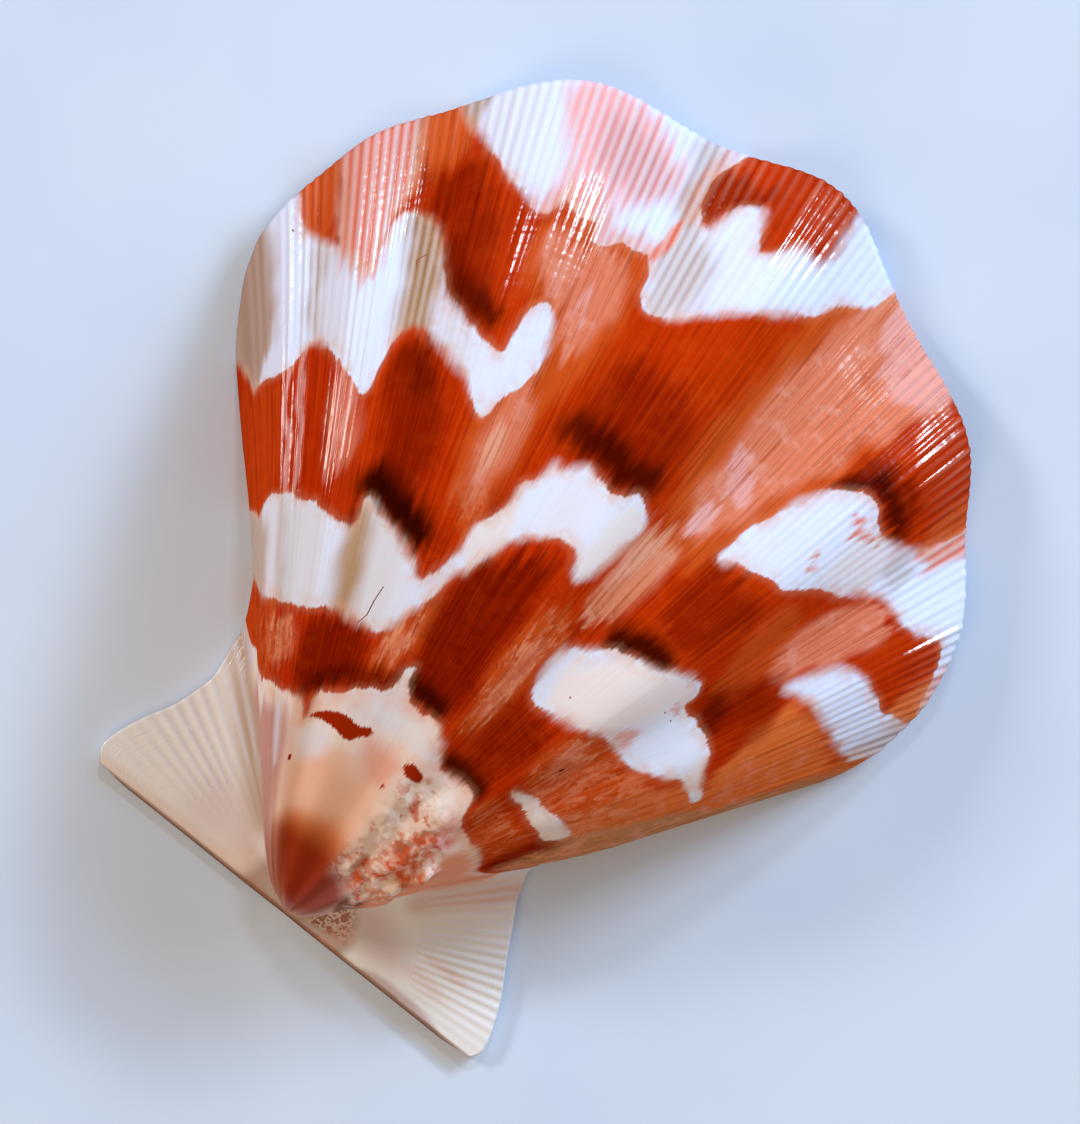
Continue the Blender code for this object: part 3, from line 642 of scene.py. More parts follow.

# Tints of the pale layer, in the same form. The beige ones in the folds' valleys and on the steep
# left flank are painted shade.
PALE = [
    (SALMON, 0.95, 0.9, [
        (-36, 1.04), (-28.4, 1.04), (-28.8, 0.93), (-30.2, 0.87), (-31.4, 0.8), (-33, 0.83), (-35, 0.88),
    ]),
    (PINK, 0.15, 0.9, [(-36, 1.04), (-30, 1.04), (-30, 0.91), (-31.4, 0.8), (-33, 0.83), (-35, 0.88)]),
    (SALMON, 0.6, 0.9, [(-31.4, 1.04), (-28.4, 1.04), (-28.8, 0.95), (-30, 0.91), (-31, 0.94)]),
    (PINK, 0.95, 1.4, [
        (-20.4, 1.02), (-14.5, 1), (-11, 0.965), (-10.2, 0.93), (-12, 0.895), (-14.4, 0.875), (-16, 0.83),
        (-18.4, 0.85), (-19, 0.92),
    ]),
    (LILAC, 0.4, 1.4, [
        (-17.6, 0.97), (-12.6, 0.965), (-10.6, 0.94), (-10.8, 0.91), (-13, 0.892), (-17, 0.9),
    ]),
    # Painted shade in a fold's valley.
    (BEIGE, 0.5, 0.8, [(-11, 1.04), (-10.4, 0.93), (-9.4, 0.9), (-8, 0.9), (-9, 1.04)]),
    (SALMON, 0.7, 0.3, [(-10.2, 0.885), (-9.4, 0.89), (-9.2, 0.86), (-9.9, 0.85)]),
    # Painted shade in a fold's valley.
    (BEIGE, 1, 1.2, [
        (-29.4, 1.04), (-26.4, 1.04), (-25.6, 0.8), (-25.6, 0.69), (-28.8, 0.69), (-28.8, 0.86),
    ]),
    # Painted shade in a fold's valley.
    (BEIGE, 0.95, 1.1, [(-30.2, 0.55), (-26.2, 0.54), (-25.6, 0.4), (-29.8, 0.4)]),
    # Painted shade in a fold's valley.
    (BEIGE, 0.5, 1.1, [(-36.8, 0.93), (-35.4, 0.93), (-35.8, 0.78), (-37, 0.78)]),
    # Painted shade in a fold's valley.
    (BEIGE, 0.45, 0.8, [(-39.4, 0.6), (-38.2, 0.6), (-38.2, 0.47), (-39.4, 0.47)]),
    # Painted shade: beige on the steep left flank.
    (BEIGE, 0.75, 0.9, [(-50, 1.04), (-41, 1.04), (-40, 0.95), (-40.2, 0.8), (-50, 0.8)]),
    # Painted shade in a fold's valley.
    (BEIGE, 0.7, 0.6, [(-26.8, 1.04), (-26.2, 0.965), (-25, 0.955), (-24.4, 1.04)]),
    # Painted shade: beige on the steep left flank.
    (BEIGE, 0.7, 0.7, [(-50, 0.66), (-41.4, 0.66), (-41, 0.49), (-50, 0.49)]),
    # Painted shade in a fold's valley.
    (BEIGE, 0.55, 1.2, [(-10, 0.97), (-8.5, 0.91), (-5.6, 0.87), (-5.6, 0.79), (-9, 0.78), (-10, 0.86)]),
    (SALMON, 0.6, 0.9, [
        (-20.5, 0.865), (-16, 0.885), (-14, 0.855), (-10.2, 0.87), (-9.8, 0.83), (-14, 0.81), (-20.5, 0.82),
    ]),
    (SALMON, 0.9, 0.6, [(21, 1.04), (20.6, 0.9), (22.4, 0.925), (23.4, 0.95), (24.2, 1.04)]),
    # The brightened rust here is partly painted light.
    (GLOWING_RUST, 0.6, 0.6, [(30.6, 1.04), (31, 0.965), (34.4, 0.97), (35.6, 1.04)]),
    (CREAM, 0.7, 0.6, [
        (-14.6, 0.53), (-11.6, 0.58), (-10.2, 0.57), (-9.8, 0.51), (-12, 0.475), (-14.6, 0.48),
    ]),
    (CREAM, 0.7, 0.6, [(-0.8, 0.6), (2.6, 0.61), (2.4, 0.52), (0, 0.51), (-1.2, 0.54)]),
    # Painted light: a paler, warmer tint that lifts this side of a fold out of its shade.
    (CREAM, 0.6, 1.2, [(17.4, 0.86), (20, 0.885), (21.4, 0.86), (20.4, 0.8), (18, 0.765), (17, 0.8)]),
    (BEIGE, 0.5, 0.8, [(34.6, 1.04), (34.4, 0.9), (36.6, 0.9), (38, 1.04)]),
    # Painted shade in a fold's valley.
    (BEIGE, 0.4, 0.8, [(20, 0.885), (22.4, 0.92), (23.6, 0.9), (21.6, 0.85)]),
    (OCHRE, 0.45, 0.6, [
        (-9.6, 0.9), (-9.8, 0.95), (-9.2, 0.99), (-8, 1.04), (-6.8, 1.04), (-7.8, 0.99), (-8.7, 0.95),
        (-8.5, 0.9),
    ]),
    (SALMON, 0.95, 0.25, [
        (-11, 0.835), (-10.4, 0.862), (-10.3, 0.895), (-9.3, 0.905), (-9.2, 0.88), (-9.7, 0.86),
        (-9.6, 0.835),
    ]),
    (SALMON, 0.9, 0.3, [(15.2, 0.818), (17.4, 0.842), (19.4, 0.862), (18.4, 0.84), (16.6, 0.82)]),
    (SALMON, 0.8, 0.3, [(15.4, 0.756), (17.4, 0.778), (16.8, 0.757)]),
    (PEACH, 0.7, 0.4, [
        (-19, 0.395), (-14.6, 0.44), (-12.4, 0.475), (-11, 0.5), (-12, 0.455), (-15, 0.415), (-17.6, 0.38),
    ]),
    (CREAM, 0.8, 1, [
        (6, 0.47), (13, 0.53), (18, 0.58), (20.6, 0.58), (20, 0.52), (18, 0.47), (14, 0.445), (8, 0.42),
    ]),
    (SALMON, 0.7, 0.5, [(18.6, 0.485), (20.4, 0.508), (22.2, 0.502), (22.6, 0.488), (20.6, 0.478)]),
    (ORANGE, 0.6, 0.25, [(19.8, 0.556), (21.4, 0.574), (22, 0.57), (20.8, 0.554)]),
    (CREAM, 0.8, 0.8, [(28, 0.62), (34.4, 0.66), (33, 0.61), (29.4, 0.58)]),
    (CREAM, 0.85, 0.6, [(16.6, 0.35), (26, 0.41), (34, 0.47), (34, 0.42), (26, 0.37), (20, 0.35)]),
    (CREAM, 0.9, 0.7, [
        (-50, 0), (-50, 0.43), (-36, 0.37), (-28, 0.335), (-12, 0.37), (0, 0.325), (14, 0.325), (40, 0.37),
        (50, 0.3), (50, 0),
    ]),
    (WHITE, 0.55, 0.7, [
        (-29, 0.335), (-12, 0.35), (-6, 0.325), (2, 0.3), (2, 0.285), (-12, 0.293), (-29, 0.302),
    ]),
    (LILAC, 0.9, 1.2, [
        (-50, 0.37), (-43, 0.355), (-36, 0.33), (-32.6, 0.3), (-33, 0.24), (-36, 0.15), (-36, 0), (-50, 0),
    ]),
    # Painted highlight: a white line along the umbo's left ridge.
    (WHITE, 0.6, 0.35, [(-38, 0.34), (-36, 0.335), (-35.6, 0.25), (-37.6, 0.25)]),
    (PEACH, 0.9, 1.8, [(-33, 0.27), (-26, 0.262), (-14, 0.25), (-2, 0.235), (4, 0.14), (-36, 0.14)]),
    (WHITE, 0.7, 0.9, [(-30, 0.292), (-22, 0.278), (-21.5, 0.25), (-26, 0.238), (-31, 0.25)]),
    (SALMON, 0.6, 1, [(-15.6, 0.285), (-10, 0.277), (-4, 0.268), (-4.6, 0.24), (-8, 0.234), (-13.6, 0.252)]),
    (SALMON, 0.7, 0.9, [(5, 0.15), (6, 0.25), (16, 0.285), (30, 0.285), (28, 0.16), (14, 0.14)]),
    (AMBER, 0.9, 1.7, [
        (-36, 0.18), (-20, 0.18), (-6, 0.175), (2, 0.15), (4, 0.06), (-20, 0.04), (-38, 0.06),
    ]),
    (RED_BROWN, 0.9, 2, [
        (-36, 0.17), (-24, 0.165), (-6, 0.15), (6, 0.14), (18, 0.125), (28, 0.12), (34, 0.06), (50, 0),
        (-40, 0), (-38, 0.09),
    ]),
    (ORANGE, 0.75, 0.4, [(2.6, 0.262), (7, 0.258), (12, 0.25), (11, 0.235), (6, 0.235), (3.4, 0.243)]),
    (PINK, 0.6, 0.6, [(13, 0.29), (24, 0.3), (25, 0.25), (20, 0.24), (14, 0.25)]),
    (HORN, 0.85, 0.35, [(8, 0.207), (11, 0.224), (15, 0.224), (14, 0.215), (10.6, 0.203)]),
    (AMBER, 0.7, 0.35, [
        (14, 0.227), (22, 0.228), (26, 0.25), (27, 0.275), (25.4, 0.27), (24, 0.24), (20, 0.236), (14, 0.236),
    ]),
    (HORN, 0.5, 0.6, [(4, 0.17), (10, 0.165), (14, 0.15), (8, 0.145), (3, 0.15)]),
    (DULL_PINK, 0.9, 0.8, [
        (26.5, 0.31), (38, 0.36), (50, 0.3), (50, 0.14), (28, 0.15), (24, 0.2), (27, 0.24),
    ]),
    (BROWN, 0.8, 0.6, [(27, 0.14), (33, 0.165), (38, 0.17), (40, 0.12), (30, 0.1), (20, 0.12)]),
]

# Fine marks: (pigment, half width in millimetres, (angle, stage) of one end, and of the other).
MARKS = [
    (BROWN, 0.03, (-24.3, 0.397), (-23.2, 0.405)),
    (BROWN, 0.04, (-23.2, 0.405), (-22.8, 0.42)),
    (BROWN, 0.035, (-22.8, 0.42), (-22.1, 0.435)),
    (BROWN, 0.06, (20.5, 0.548), (20.5, 0.548)),
    (BROWN, 0.06, (22, 0.556), (22, 0.556)),
    (HORN, 0.06, (10.2, 0.448), (10.2, 0.448)),
    (RED_BROWN, 0.1, (-32, 0.25), (-32, 0.254)),
    (BLACKISH, 0.06, (19.9, 0.415), (20.1, 0.42)),
    (HORN, 0.04, (-27.9, 0.815), (-27.1, 0.819)),
    (HORN, 0.04, (-27.9, 0.815), (-27.8, 0.807)),
    (HORN, 0.04, (-38.5, 0.956), (-38.4, 0.952)),
]

# Where the shell is polished: (how much, softness in millimetres, outline). The ears are too, except
# where they are worn.
EAR_POLISH = 0.7
WORN_OUT = (0, 0.3)
POLISHED = [
    (1, 0.6, [(-5, 1.04), (-5, 0.88), (1.4, 0.9), (1.4, 1.04)]),
    (0.2, 0.6, [(4, 0.96), (4, 0.89), (10.4, 0.89), (10.4, 0.96)]),
    (1, 0.6, [(13.2, 1.04), (13.2, 0.925), (20, 0.925), (20, 1.04)]),
    (1, 0.6, [(27.6, 1.00), (27.4, 0.905), (30.8, 0.91), (31, 1.00)]),
    (1, 0.6, [(-35.4, 1.04), (-35, 0.86), (-31.6, 0.8), (-27.6, 0.9), (-27.6, 1.04)]),
    (1, 0.4, [(-22.6, 0.885), (-22.4, 0.74), (-20, 0.73), (-19.2, 0.87)]),
    (1, 0.4, [(-18.4, 0.9), (-17.8, 0.75), (-14.9, 0.745), (-14.6, 0.9)]),
    (1, 0.4, [(-39.4, 1.04), (-39.3, 0.2), (-36.8, 0.2), (-36.8, 1.04)]),
    (1, 0.4, [(-34.4, 0.74), (-34.4, 0.57), (-29.6, 0.56), (-30.4, 0.68), (-32.6, 0.73)]),
    (0.7, 0.4, [(19.2, 0.43), (19.2, 0.405), (20.8, 0.405), (20.8, 0.43)]),
]

# Tints of the ears, with outlines in millimetres about the beak, and of the valleys between ribs,
# which is painted shade.
EAR_VALLEY_SHARE = 0.15
EARS = [
    (PEACH, 0.35, 0.5, [(-12.4, -1), (-12.4, 0.45), (-9, 0.5), (-5, 0.5), (-1, 0.3), (-1, -1)]),
    (LILAC, 0.3, 2.2, [(-6.8, 3.4), (-3, 4.4), (-1.4, 2), (-2, 0.2), (-7.2, 0.2)]),
    # Painted shade: beige along the disc's wall and the notch beside it.
    (BEIGE, 0.8, 1.2, [(-2.4, 2.8), (-9.4, 10.8), (-11.2, 9.4), (-8.4, 6.2), (-4.8, 3), (-3.4, 2)]),
    (BEIGE, 0.5, 0.5, [(-12, 10), (-9.6, 9.4), (-7.4, 8.2), (-8, 7.4), (-9.8, 8.4)]),
    (HORN, 0.6, 0.9, [(-2.4, 1.6), (0, 1.6), (0, -1), (-3, -1), (-2.6, 0.4)]),
    (LILAC, 0.4, 1.6, [(2.4, 3), (5.4, 2.4), (6, 0.8), (4, 0.5), (2.2, 1.4)]),
    (RED_BROWN, 0.45, 0.35, [(4.2, 0.45), (8.8, 0.4), (10.2, -1), (4, -1)]),
    (SALMON, 0.25, 0.7, [(5.6, 1.3), (6.2, 1.9), (7.8, 1.8), (8.6, 1.3), (7.2, 1)]),
    (PEACH, 0.55, 0.5, [(6, 2.4), (7.6, 2.8), (9, 2.6), (8, 2.2)]),
    # Painted shade: ochre along the disc's wall.
    (OCHRE, 0.45, 0.8, [(3.6, 4.2), (8.6, 9), (8.4, 7.2), (5.6, 4.6), (4.4, 3.4)]),
    (HORN, 0.6, 0.7, [(0, 2.2), (1.6, 1.9), (3.2, 1.2), (3.4, 0.3), (3, -1), (0, -1)]),
    (HORN, 0.9, 0.2, [(-13, -1), (-13, 0.02), (-2, 0.05), (2, 0.05), (13, 0.02), (13, -1)]),
]

# Inside, the shell is porcelain white. The outside shows through, more so at the edge. The umbo is
# warmer, and the hinge line is horn-coloured up to some millimetres from it.
SHOWS_THROUGH = 0.16
EDGE_SHOWS = 0.35
EDGE_COMES = (0.93, 1.0)
UMBO_WARMTH = 0.5
WARMTH_GOES = (0.25, 0.5)
HINGE_HORN = 0.8
HORN_GOES = (-0.1, 0.15)


def linear(pigment):
    """A pigment of 0 to 255 as scene-linear values."""
    share = np.array(pigment) / 255
    return np.where(share <= 0.04045, share / 12.92, ((share + 0.055) / 1.055) ** 2.4)


def rolled_out(angle, stage):
    """Places on the shell rolled out flat, in millimetres."""
    turn = np.radians(angle)
    return np.stack((ROLLED_OUT * stage * np.sin(turn), ROLLED_OUT * stage * np.cos(turn)), axis=-1)


def noise_points(angle, stage, grains, depth):
    """Places of the noise at places on the shell, with so many grains for each degree and stage."""
    return [Vector((x, y, depth)) for x, y in zip(angle * grains[0], stage * grains[1])]


def frayed(angle, stage):
    """Places on the rolled-out shell, shifted by noise that is drawn out along the riblets."""
    points = noise_points(angle, stage, ALONG_GRAINS, 0.0)
    along = np.array([noise.noise(p) + FINER_SHARE * noise.noise(p * FINER_GRAINS) for p in points])
    points = noise_points(angle, stage, ACROSS_GRAINS, 5.0)
    across = np.array([noise.noise(p) for p in points])
    share = smooth(*FRAY_BEGINS, stage)
    return rolled_out(angle + FRAY_ACROSS * share * across, stage + FRAY_ALONG * share * along)


def rounded(corners, closed=True):
    """The same outline with its corners cut twice."""
    for _ in range(2):
        following = np.roll(corners, -1, axis=0) if closed else corners[1:]
        current = corners if closed else corners[:-1]
        pairs = np.stack((0.75 * current + 0.25 * following, 0.25 * current + 0.75 * following), axis=1)
        cut = pairs.reshape(-1, 2)
        corners = cut if closed else np.vstack((corners[:1], cut[1:-1], corners[-1:]))
    return corners


def distance_to(starts, ends, places):
    """Distance from each place to the nearest of some line pieces."""
    nearest = np.full(len(places), np.inf)
    for start, end in zip(starts, ends):
        along = end - start
        share = np.clip((places - start) @ along / max(along @ along, 1e-12), 0, 1)
        nearest = np.minimum(nearest, np.linalg.norm(places - start - share[:, None] * along, axis=1))
    return nearest


def depth_inside(outline, places):
    """How deep inside a rounded outline each place is, in millimetres, and negative outside."""
    starts = rounded(outline)
    ends = np.roll(starts, -1, axis=0)
    depth = np.full(len(places), -FAR)
    near = np.all((places > starts.min(axis=0) - FAR) & (places < starts.max(axis=0) + FAR), axis=1)
    some = places[near]
    distance = np.minimum(distance_to(starts, ends, some), FAR)
    odd = np.zeros(len(some), bool)
    for (x0, y0), (x1, y1) in zip(starts, ends):
        spans = (y0 > some[:, 1]) != (y1 > some[:, 1])
        crossing = x0 + (some[:, 1] - y0) * (x1 - x0) / (y1 - y0 if y1 != y0 else 1)
        odd ^= spans & (some[:, 0] < crossing)
    depth[near] = np.where(odd, distance, -distance)
    return depth


def deepest_inside(outlines, places):
    """How deep inside any of some outlines on the rolled-out shell each place is."""
    return np.max([depth_inside(rolled_out(*np.array(line).T), places) for line in outlines], axis=0)


def covered(corners, strength, softness, places):
    """How much of each place a soft-edged patch covers."""
    return strength * smooth(-softness / 2, softness / 2, depth_inside(corners, places))


def mix_in(colours, share, others):
    """Move each colour by a share of the way to another."""
    colours += share[:, None] * (others - colours)


def tint(colours, places, tints, crisper=1.0, flatten=rolled_out):
    """Mix soft-edged patches into colours, in order."""
    for pigment, strength, softness, outline in tints:
        corners = flatten(*np.array(outline).T)
        mix_in(colours, covered(corners, strength, crisper * softness, places), linear(pigment))


def on_plan(x, y):
    """Places in plan, in millimetres about the beak."""
    return np.stack((x, y), axis=-1)


def ground_colours(soft_places, places):
    """The coloured layer's colour at each place of the rolled-out shell."""
    colours = np.tile(linear(VERMILION), (len(places), 1))
    tint(colours, soft_places, GROUND, CRISPER)
    streak_places = STREAK_FRAY * soft_places + (1 - STREAK_FRAY) * places
    for pigment, strength, width, line in STREAKS:
        corners = rounded(rolled_out(*np.array(line).T), closed=False)
        distance = distance_to(corners[:-1], corners[1:], streak_places)
        mix_in(colours, strength * (1 - smooth(*STREAK_FADES, distance / width)), linear(pigment))
    return colours


def pale_colours(places, plan, on_ear, ear_valley_shade):
    """The pale layer's colour at each place."""
    colours = np.tile(linear(WHITE), (len(places), 1))
    tint(colours, places, PALE)
    ears = np.tile(linear(BRIGHT), (len(places), 1))
    tint(ears, plan, EARS, flatten=on_plan)
    # Painted shade in the valleys between ear ribs.
    mix_in(ears, EAR_VALLEY_SHARE * ear_valley_shade, linear(EAR_VALLEYS))
    mix_in(colours, on_ear, ears)
    return colours


def inside_colours(through_wall, stage, y):
    """The inner side's colour, from the outside's colour beyond the wall."""
    colours = linear(PORCELAIN) + SHOWS_THROUGH * (through_wall - linear(PORCELAIN))
    mix_in(colours, UMBO_WARMTH * (1 - smooth(*WARMTH_GOES, stage)), linear(PEACH))
    mix_in(colours, EDGE_SHOWS * smooth(*EDGE_COMES, stage), through_wall)
    mix_in(colours, HINGE_HORN * (1 - smooth(*HORN_GOES, y)), linear(HORN))
    return colours


# ---------------------------------------------------------------------------------------- the mesh

# Each side's rows of vertices: (stage, how many mesh columns lie between two vertices).
OUTER_STAGES = (
    [(stage, 6) for stage in np.arange(0.012, 0.099, 0.011)]
    + [(stage, 3) for stage in np.arange(0.10, 0.308, 0.005)]
    + [(stage, 2) for stage in np.arange(0.31, 0.597, 0.0065)]
    + [(stage, 1) for stage in np.linspace(0.60, 1.0, 54)]
)
INNER_STAGES = (
    [(stage, 6) for stage in (0.03, 0.043, 0.056, 0.068, 0.08, 0.10, 0.12, 0.14, 0.16, 0.19, 0.22, 0.25)]
    + [(stage, 3) for stage in np.linspace(0.28, 1.0, 46)]
)

# Stages over which the crests of riblets and of ear ribs begin to show in the colours, as painted
# highlight on them and painted shade between them, how much more an ear rib's does, and where, by a
# column's side, the ears' colours end.
CREST_SHOWS = (0.35, 0.9)
EAR_CREST_SHOWS = (0.3, 0.7)
EAR_CREST_MORE = 1.8
EAR_COLOURS_END = (0.97, 1.06)

# At the beak: angle, stage, crest, share of ear, reach and share of crust.
BEAK_VALUES = [[0], [0], [0], [0], [1], [0]]


def strip(first, second):
    """Triangles that fill the strip between two lists of (place, vertex) that run the same way."""
    faces = []
    i = j = 0
    while i + 1 < len(first) or j + 1 < len(second):
        next_first = first[i + 1][0] if i + 1 < len(first) else math.inf
        next_second = second[j + 1][0] if j + 1 < len(second) else math.inf
        if next_first < next_second:
            faces.append((first[i][1], second[j][1], first[i + 1][1]))
            i += 1
        else:
            faces.append((first[i][1], second[j][1], second[j + 1][1]))
            j += 1
    return faces


def values_at(margin, stage):
    """What the colours need to know at each column of a stage's row, in BEAK_VALUES' order."""
    crest = margin.crest * smooth(*CREST_SHOWS, stage)
    crest = crest + EAR_CREST_MORE * margin.ear_crest * smooth(*EAR_CREST_SHOWS, stage)
    ear = 1 - smooth(*EAR_COLOURS_END, margin.side)
    stages = np.full(len(ear), stage)
    return np.stack((margin.angle, stages, crest, ear, margin.reach, worn(margin, stage)))


class Side:
    """One side's rows of vertices, with what the colours need to know at each."""

    def __init__(self, margin, rows, row_at, beak, first_vertex):
        points = [np.array([beak])]
        values = [np.array(BEAK_VALUES, float)]
        self.rows = [[(0, first_vertex)]]
        count = first_vertex + 1
        for stage, stride in rows:
            columns = np.arange(0, len(margin.angle), stride)
            points.append(row_at(margin, stage)[columns])
            values.append(values_at(margin, stage)[:, columns])
            self.rows.append([(column, count + k) for k, column in enumerate(columns)])
            count += len(columns)
        self.count = count - first_vertex
        self.points = np.vstack(points)
        self.values = np.hstack(values)

    def hinge(self):
        """The side's vertices along the hinge line, from the left ear's tip to the right ear's."""
        return [row[0][1] for row in reversed(self.rows)] + [row[-1][1] for row in self.rows[1:]]


def valve_faces(outer, inner, points):
    """Triangles of both sides, and of the strips between them along the margin and the hinge line."""
    faces = []
    for side in (outer, inner):
        for earlier, later in zip(side.rows, side.rows[1:]):
            new = strip(earlier, later)
            faces += new if side is inner else [face[::-1] for face in new]
    faces += [face[::-1] for face in strip(outer.rows[-1], inner.rows[-1])]
    hinges = [[(points[vertex, 0], vertex) for vertex in side.hinge()] for side in (outer, inner)]
    faces += strip(*hinges)
    return [tuple(int(vertex) for vertex in face) for face in faces]


def paint(mesh, outer, inner, points):
    """Give the mesh what the shell's material reads at each vertex."""
    angle, stage, crest, ear, reach, crust = np.hstack((outer.values, inner.values))
    inside = (np.arange(len(points)) >= outer.count).astype(float)
    outside = 1 - inside
    places = rolled_out(angle, stage * reach)
    soft_places = frayed(angle, stage * reach)
    white = np.where(ear > 0.5, FAR, deepest_inside(WHITE_PATCHES, places))
    polish = EAR_POLISH * ear * (1 - smooth(*WORN_OUT, crust))
    for share, softness, outline in POLISHED:
        corners = rolled_out(*np.array(outline).T)
        polish = np.maximum(polish, covered(corners, share, softness, places))
    ground = ground_colours(soft_places, places)
    ear_valley_shade = np.clip(smooth(*EAR_CREST_SHOWS, stage) - crest / EAR_CREST_MORE, 0, 1)
    pale = pale_colours(soft_places, points[:, :2], ear, ear_valley_shade)
    through_wall = np.where((white > 0)[:, None], pale, ground)
    inner_colours = inside_colours(through_wall, stage, points[:, 1])
    mix_in(ground, inside, inner_colours)
    mix_in(pale, inside, inner_colours)

    values = {
        "white": white,
        "scraps": deepest_inside(RED_SCRAPS, places),
        "angle": angle,
        "stage": stage,
        "crest": crest * outside,
        "worn": crust * outside,
        "inside": inside,
        "polish": polish * outside,
    }
    for name, value in values.items():
        mesh.attributes.new(name, "FLOAT", "POINT").data.foreach_set("value", value.astype(np.float32))
    for name, colour in (("ground", ground), ("pale", pale)):
        opaque = np.hstack((np.clip(colour, 0, 1), np.ones((len(colour), 1)))).astype(np.float32)
        mesh.attributes.new(name, "FLOAT_COLOR", "POINT").data.foreach_set("color", opaque.ravel())


def placed(name, data):
    """A new object in the scene, with its mesh, lamp or camera."""
    piece = bpy.data.objects.new(name, data)
    bpy.context.collection.objects.link(piece)
    return piece


def valve_piece():
    """The valve as one object with its colours as attributes."""
    margin = Margin()
    outer = Side(margin, OUTER_STAGES, outer_row, (0, 0, RIM), 0)
    inner = Side(margin, INNER_STAGES, inner_row, (0, -HINGE_LIP, 0), outer.count)
    points = np.vstack((outer.points, inner.points))
    mesh = bpy.data.meshes.new("valve_shell")
    in_frame = (points + (*BEAK_AT, 0)) * MM
    mesh.from_pydata(in_frame.tolist(), [], valve_faces(outer, inner, points))
    mesh.validate()
    mesh.update()
    paint(mesh, outer, inner, points)
    mesh.shade_smooth()
    return placed("valve_shell", mesh)


# ----------------------------------------------------------------------------------- the materials

# By how much streaks and bands darken red, green and blue.
STREAK_TINT = (0.52, 0.36, 0.30)
BAND_TINT = (0.55, 0.38, 0.32)
PALE_STREAK_TINT = (0.80, 0.74, 0.70)

# Heights of the bumped relief, in metres.
LINE_HEIGHT = 0.00005
STREAK_HEIGHT = 0.000005
CRUST_BUMP_HEIGHT = 0.0005


class Net:
    """A new material, and short calls that add nodes to its network and join them."""

    def __init__(self, name):
        self.material = bpy.data.materials.new(name)
        self.material.use_nodes = True
        self.tree = self.material.node_tree
        self.surface = self.tree.nodes["Principled BSDF"]

    def add(self, kind, inputs=(), **settings):
        node = self.tree.nodes.new(kind)
        for name, value in settings.items():
            setattr(node, name, value)
        for name, value in dict(inputs).items():
            self.put(node.inputs[name], value)
        return node

    def put(self, socket, value):
        if isinstance(value, bpy.types.NodeSocket):
            self.tree.links.new(value, socket)
        else:
            socket.default_value = value

    def shade(self, name, value):
        self.put(self.surface.inputs[name], value)

    def attribute(self, name, colour=False):
        node = self.add("ShaderNodeAttribute", attribute_name=name)
        return node.outputs["Color" if colour else "Fac"]

    def object_place(self):
        return self.add("ShaderNodeTexCoord").outputs["Object"]

    def math(self, operation, first, second=0.0, third=0.0):
        inputs = {0: first, 1: second, 2: third}
        return self.add("ShaderNodeMath", inputs, operation=operation).outputs[0]

    def vector_math(self, operation, inputs):
        return self.add("ShaderNodeVectorMath", inputs, operation=operation).outputs

    def times(self, first, *others):
        """The product of some values."""
        for other in others:
            first = self.math("MULTIPLY", first, other)
        return first

    def ramp(self, value, low, high, to_low=0.0, to_high=1.0):
        """Rise smoothly from to_low at low to to_high at high."""
        inputs = {"Value": value, "From Min": low, "From Max": high, "To Min": to_low, "To Max": to_high}
        return self.add("ShaderNodeMapRange", inputs, interpolation_type="SMOOTHSTEP").outputs["Result"]

    def mix(self, share, first, second, blend="MIX"):
        node = self.add("ShaderNodeMix", data_type="RGBA", blend_type=blend)
        self.put(node.inputs["Factor"], share)
        self.put(node.inputs[6], first)
        self.put(node.inputs[7], second)
        return node.outputs[2]

    def darkened(self, colour, channels):
        """A colour with its channels multiplied."""
        return self.mix(1.0, colour, (*channels, 1), "MULTIPLY")

    def noise(self, vector, scale, detail=2.0, roughness=0.5, distortion=0.0):
        inputs = {"Vector": vector, "Scale": scale, "Detail": detail, "Roughness": roughness}
        inputs["Distortion"] = distortion
        return self.add("ShaderNodeTexNoise", inputs).outputs["Fac"]


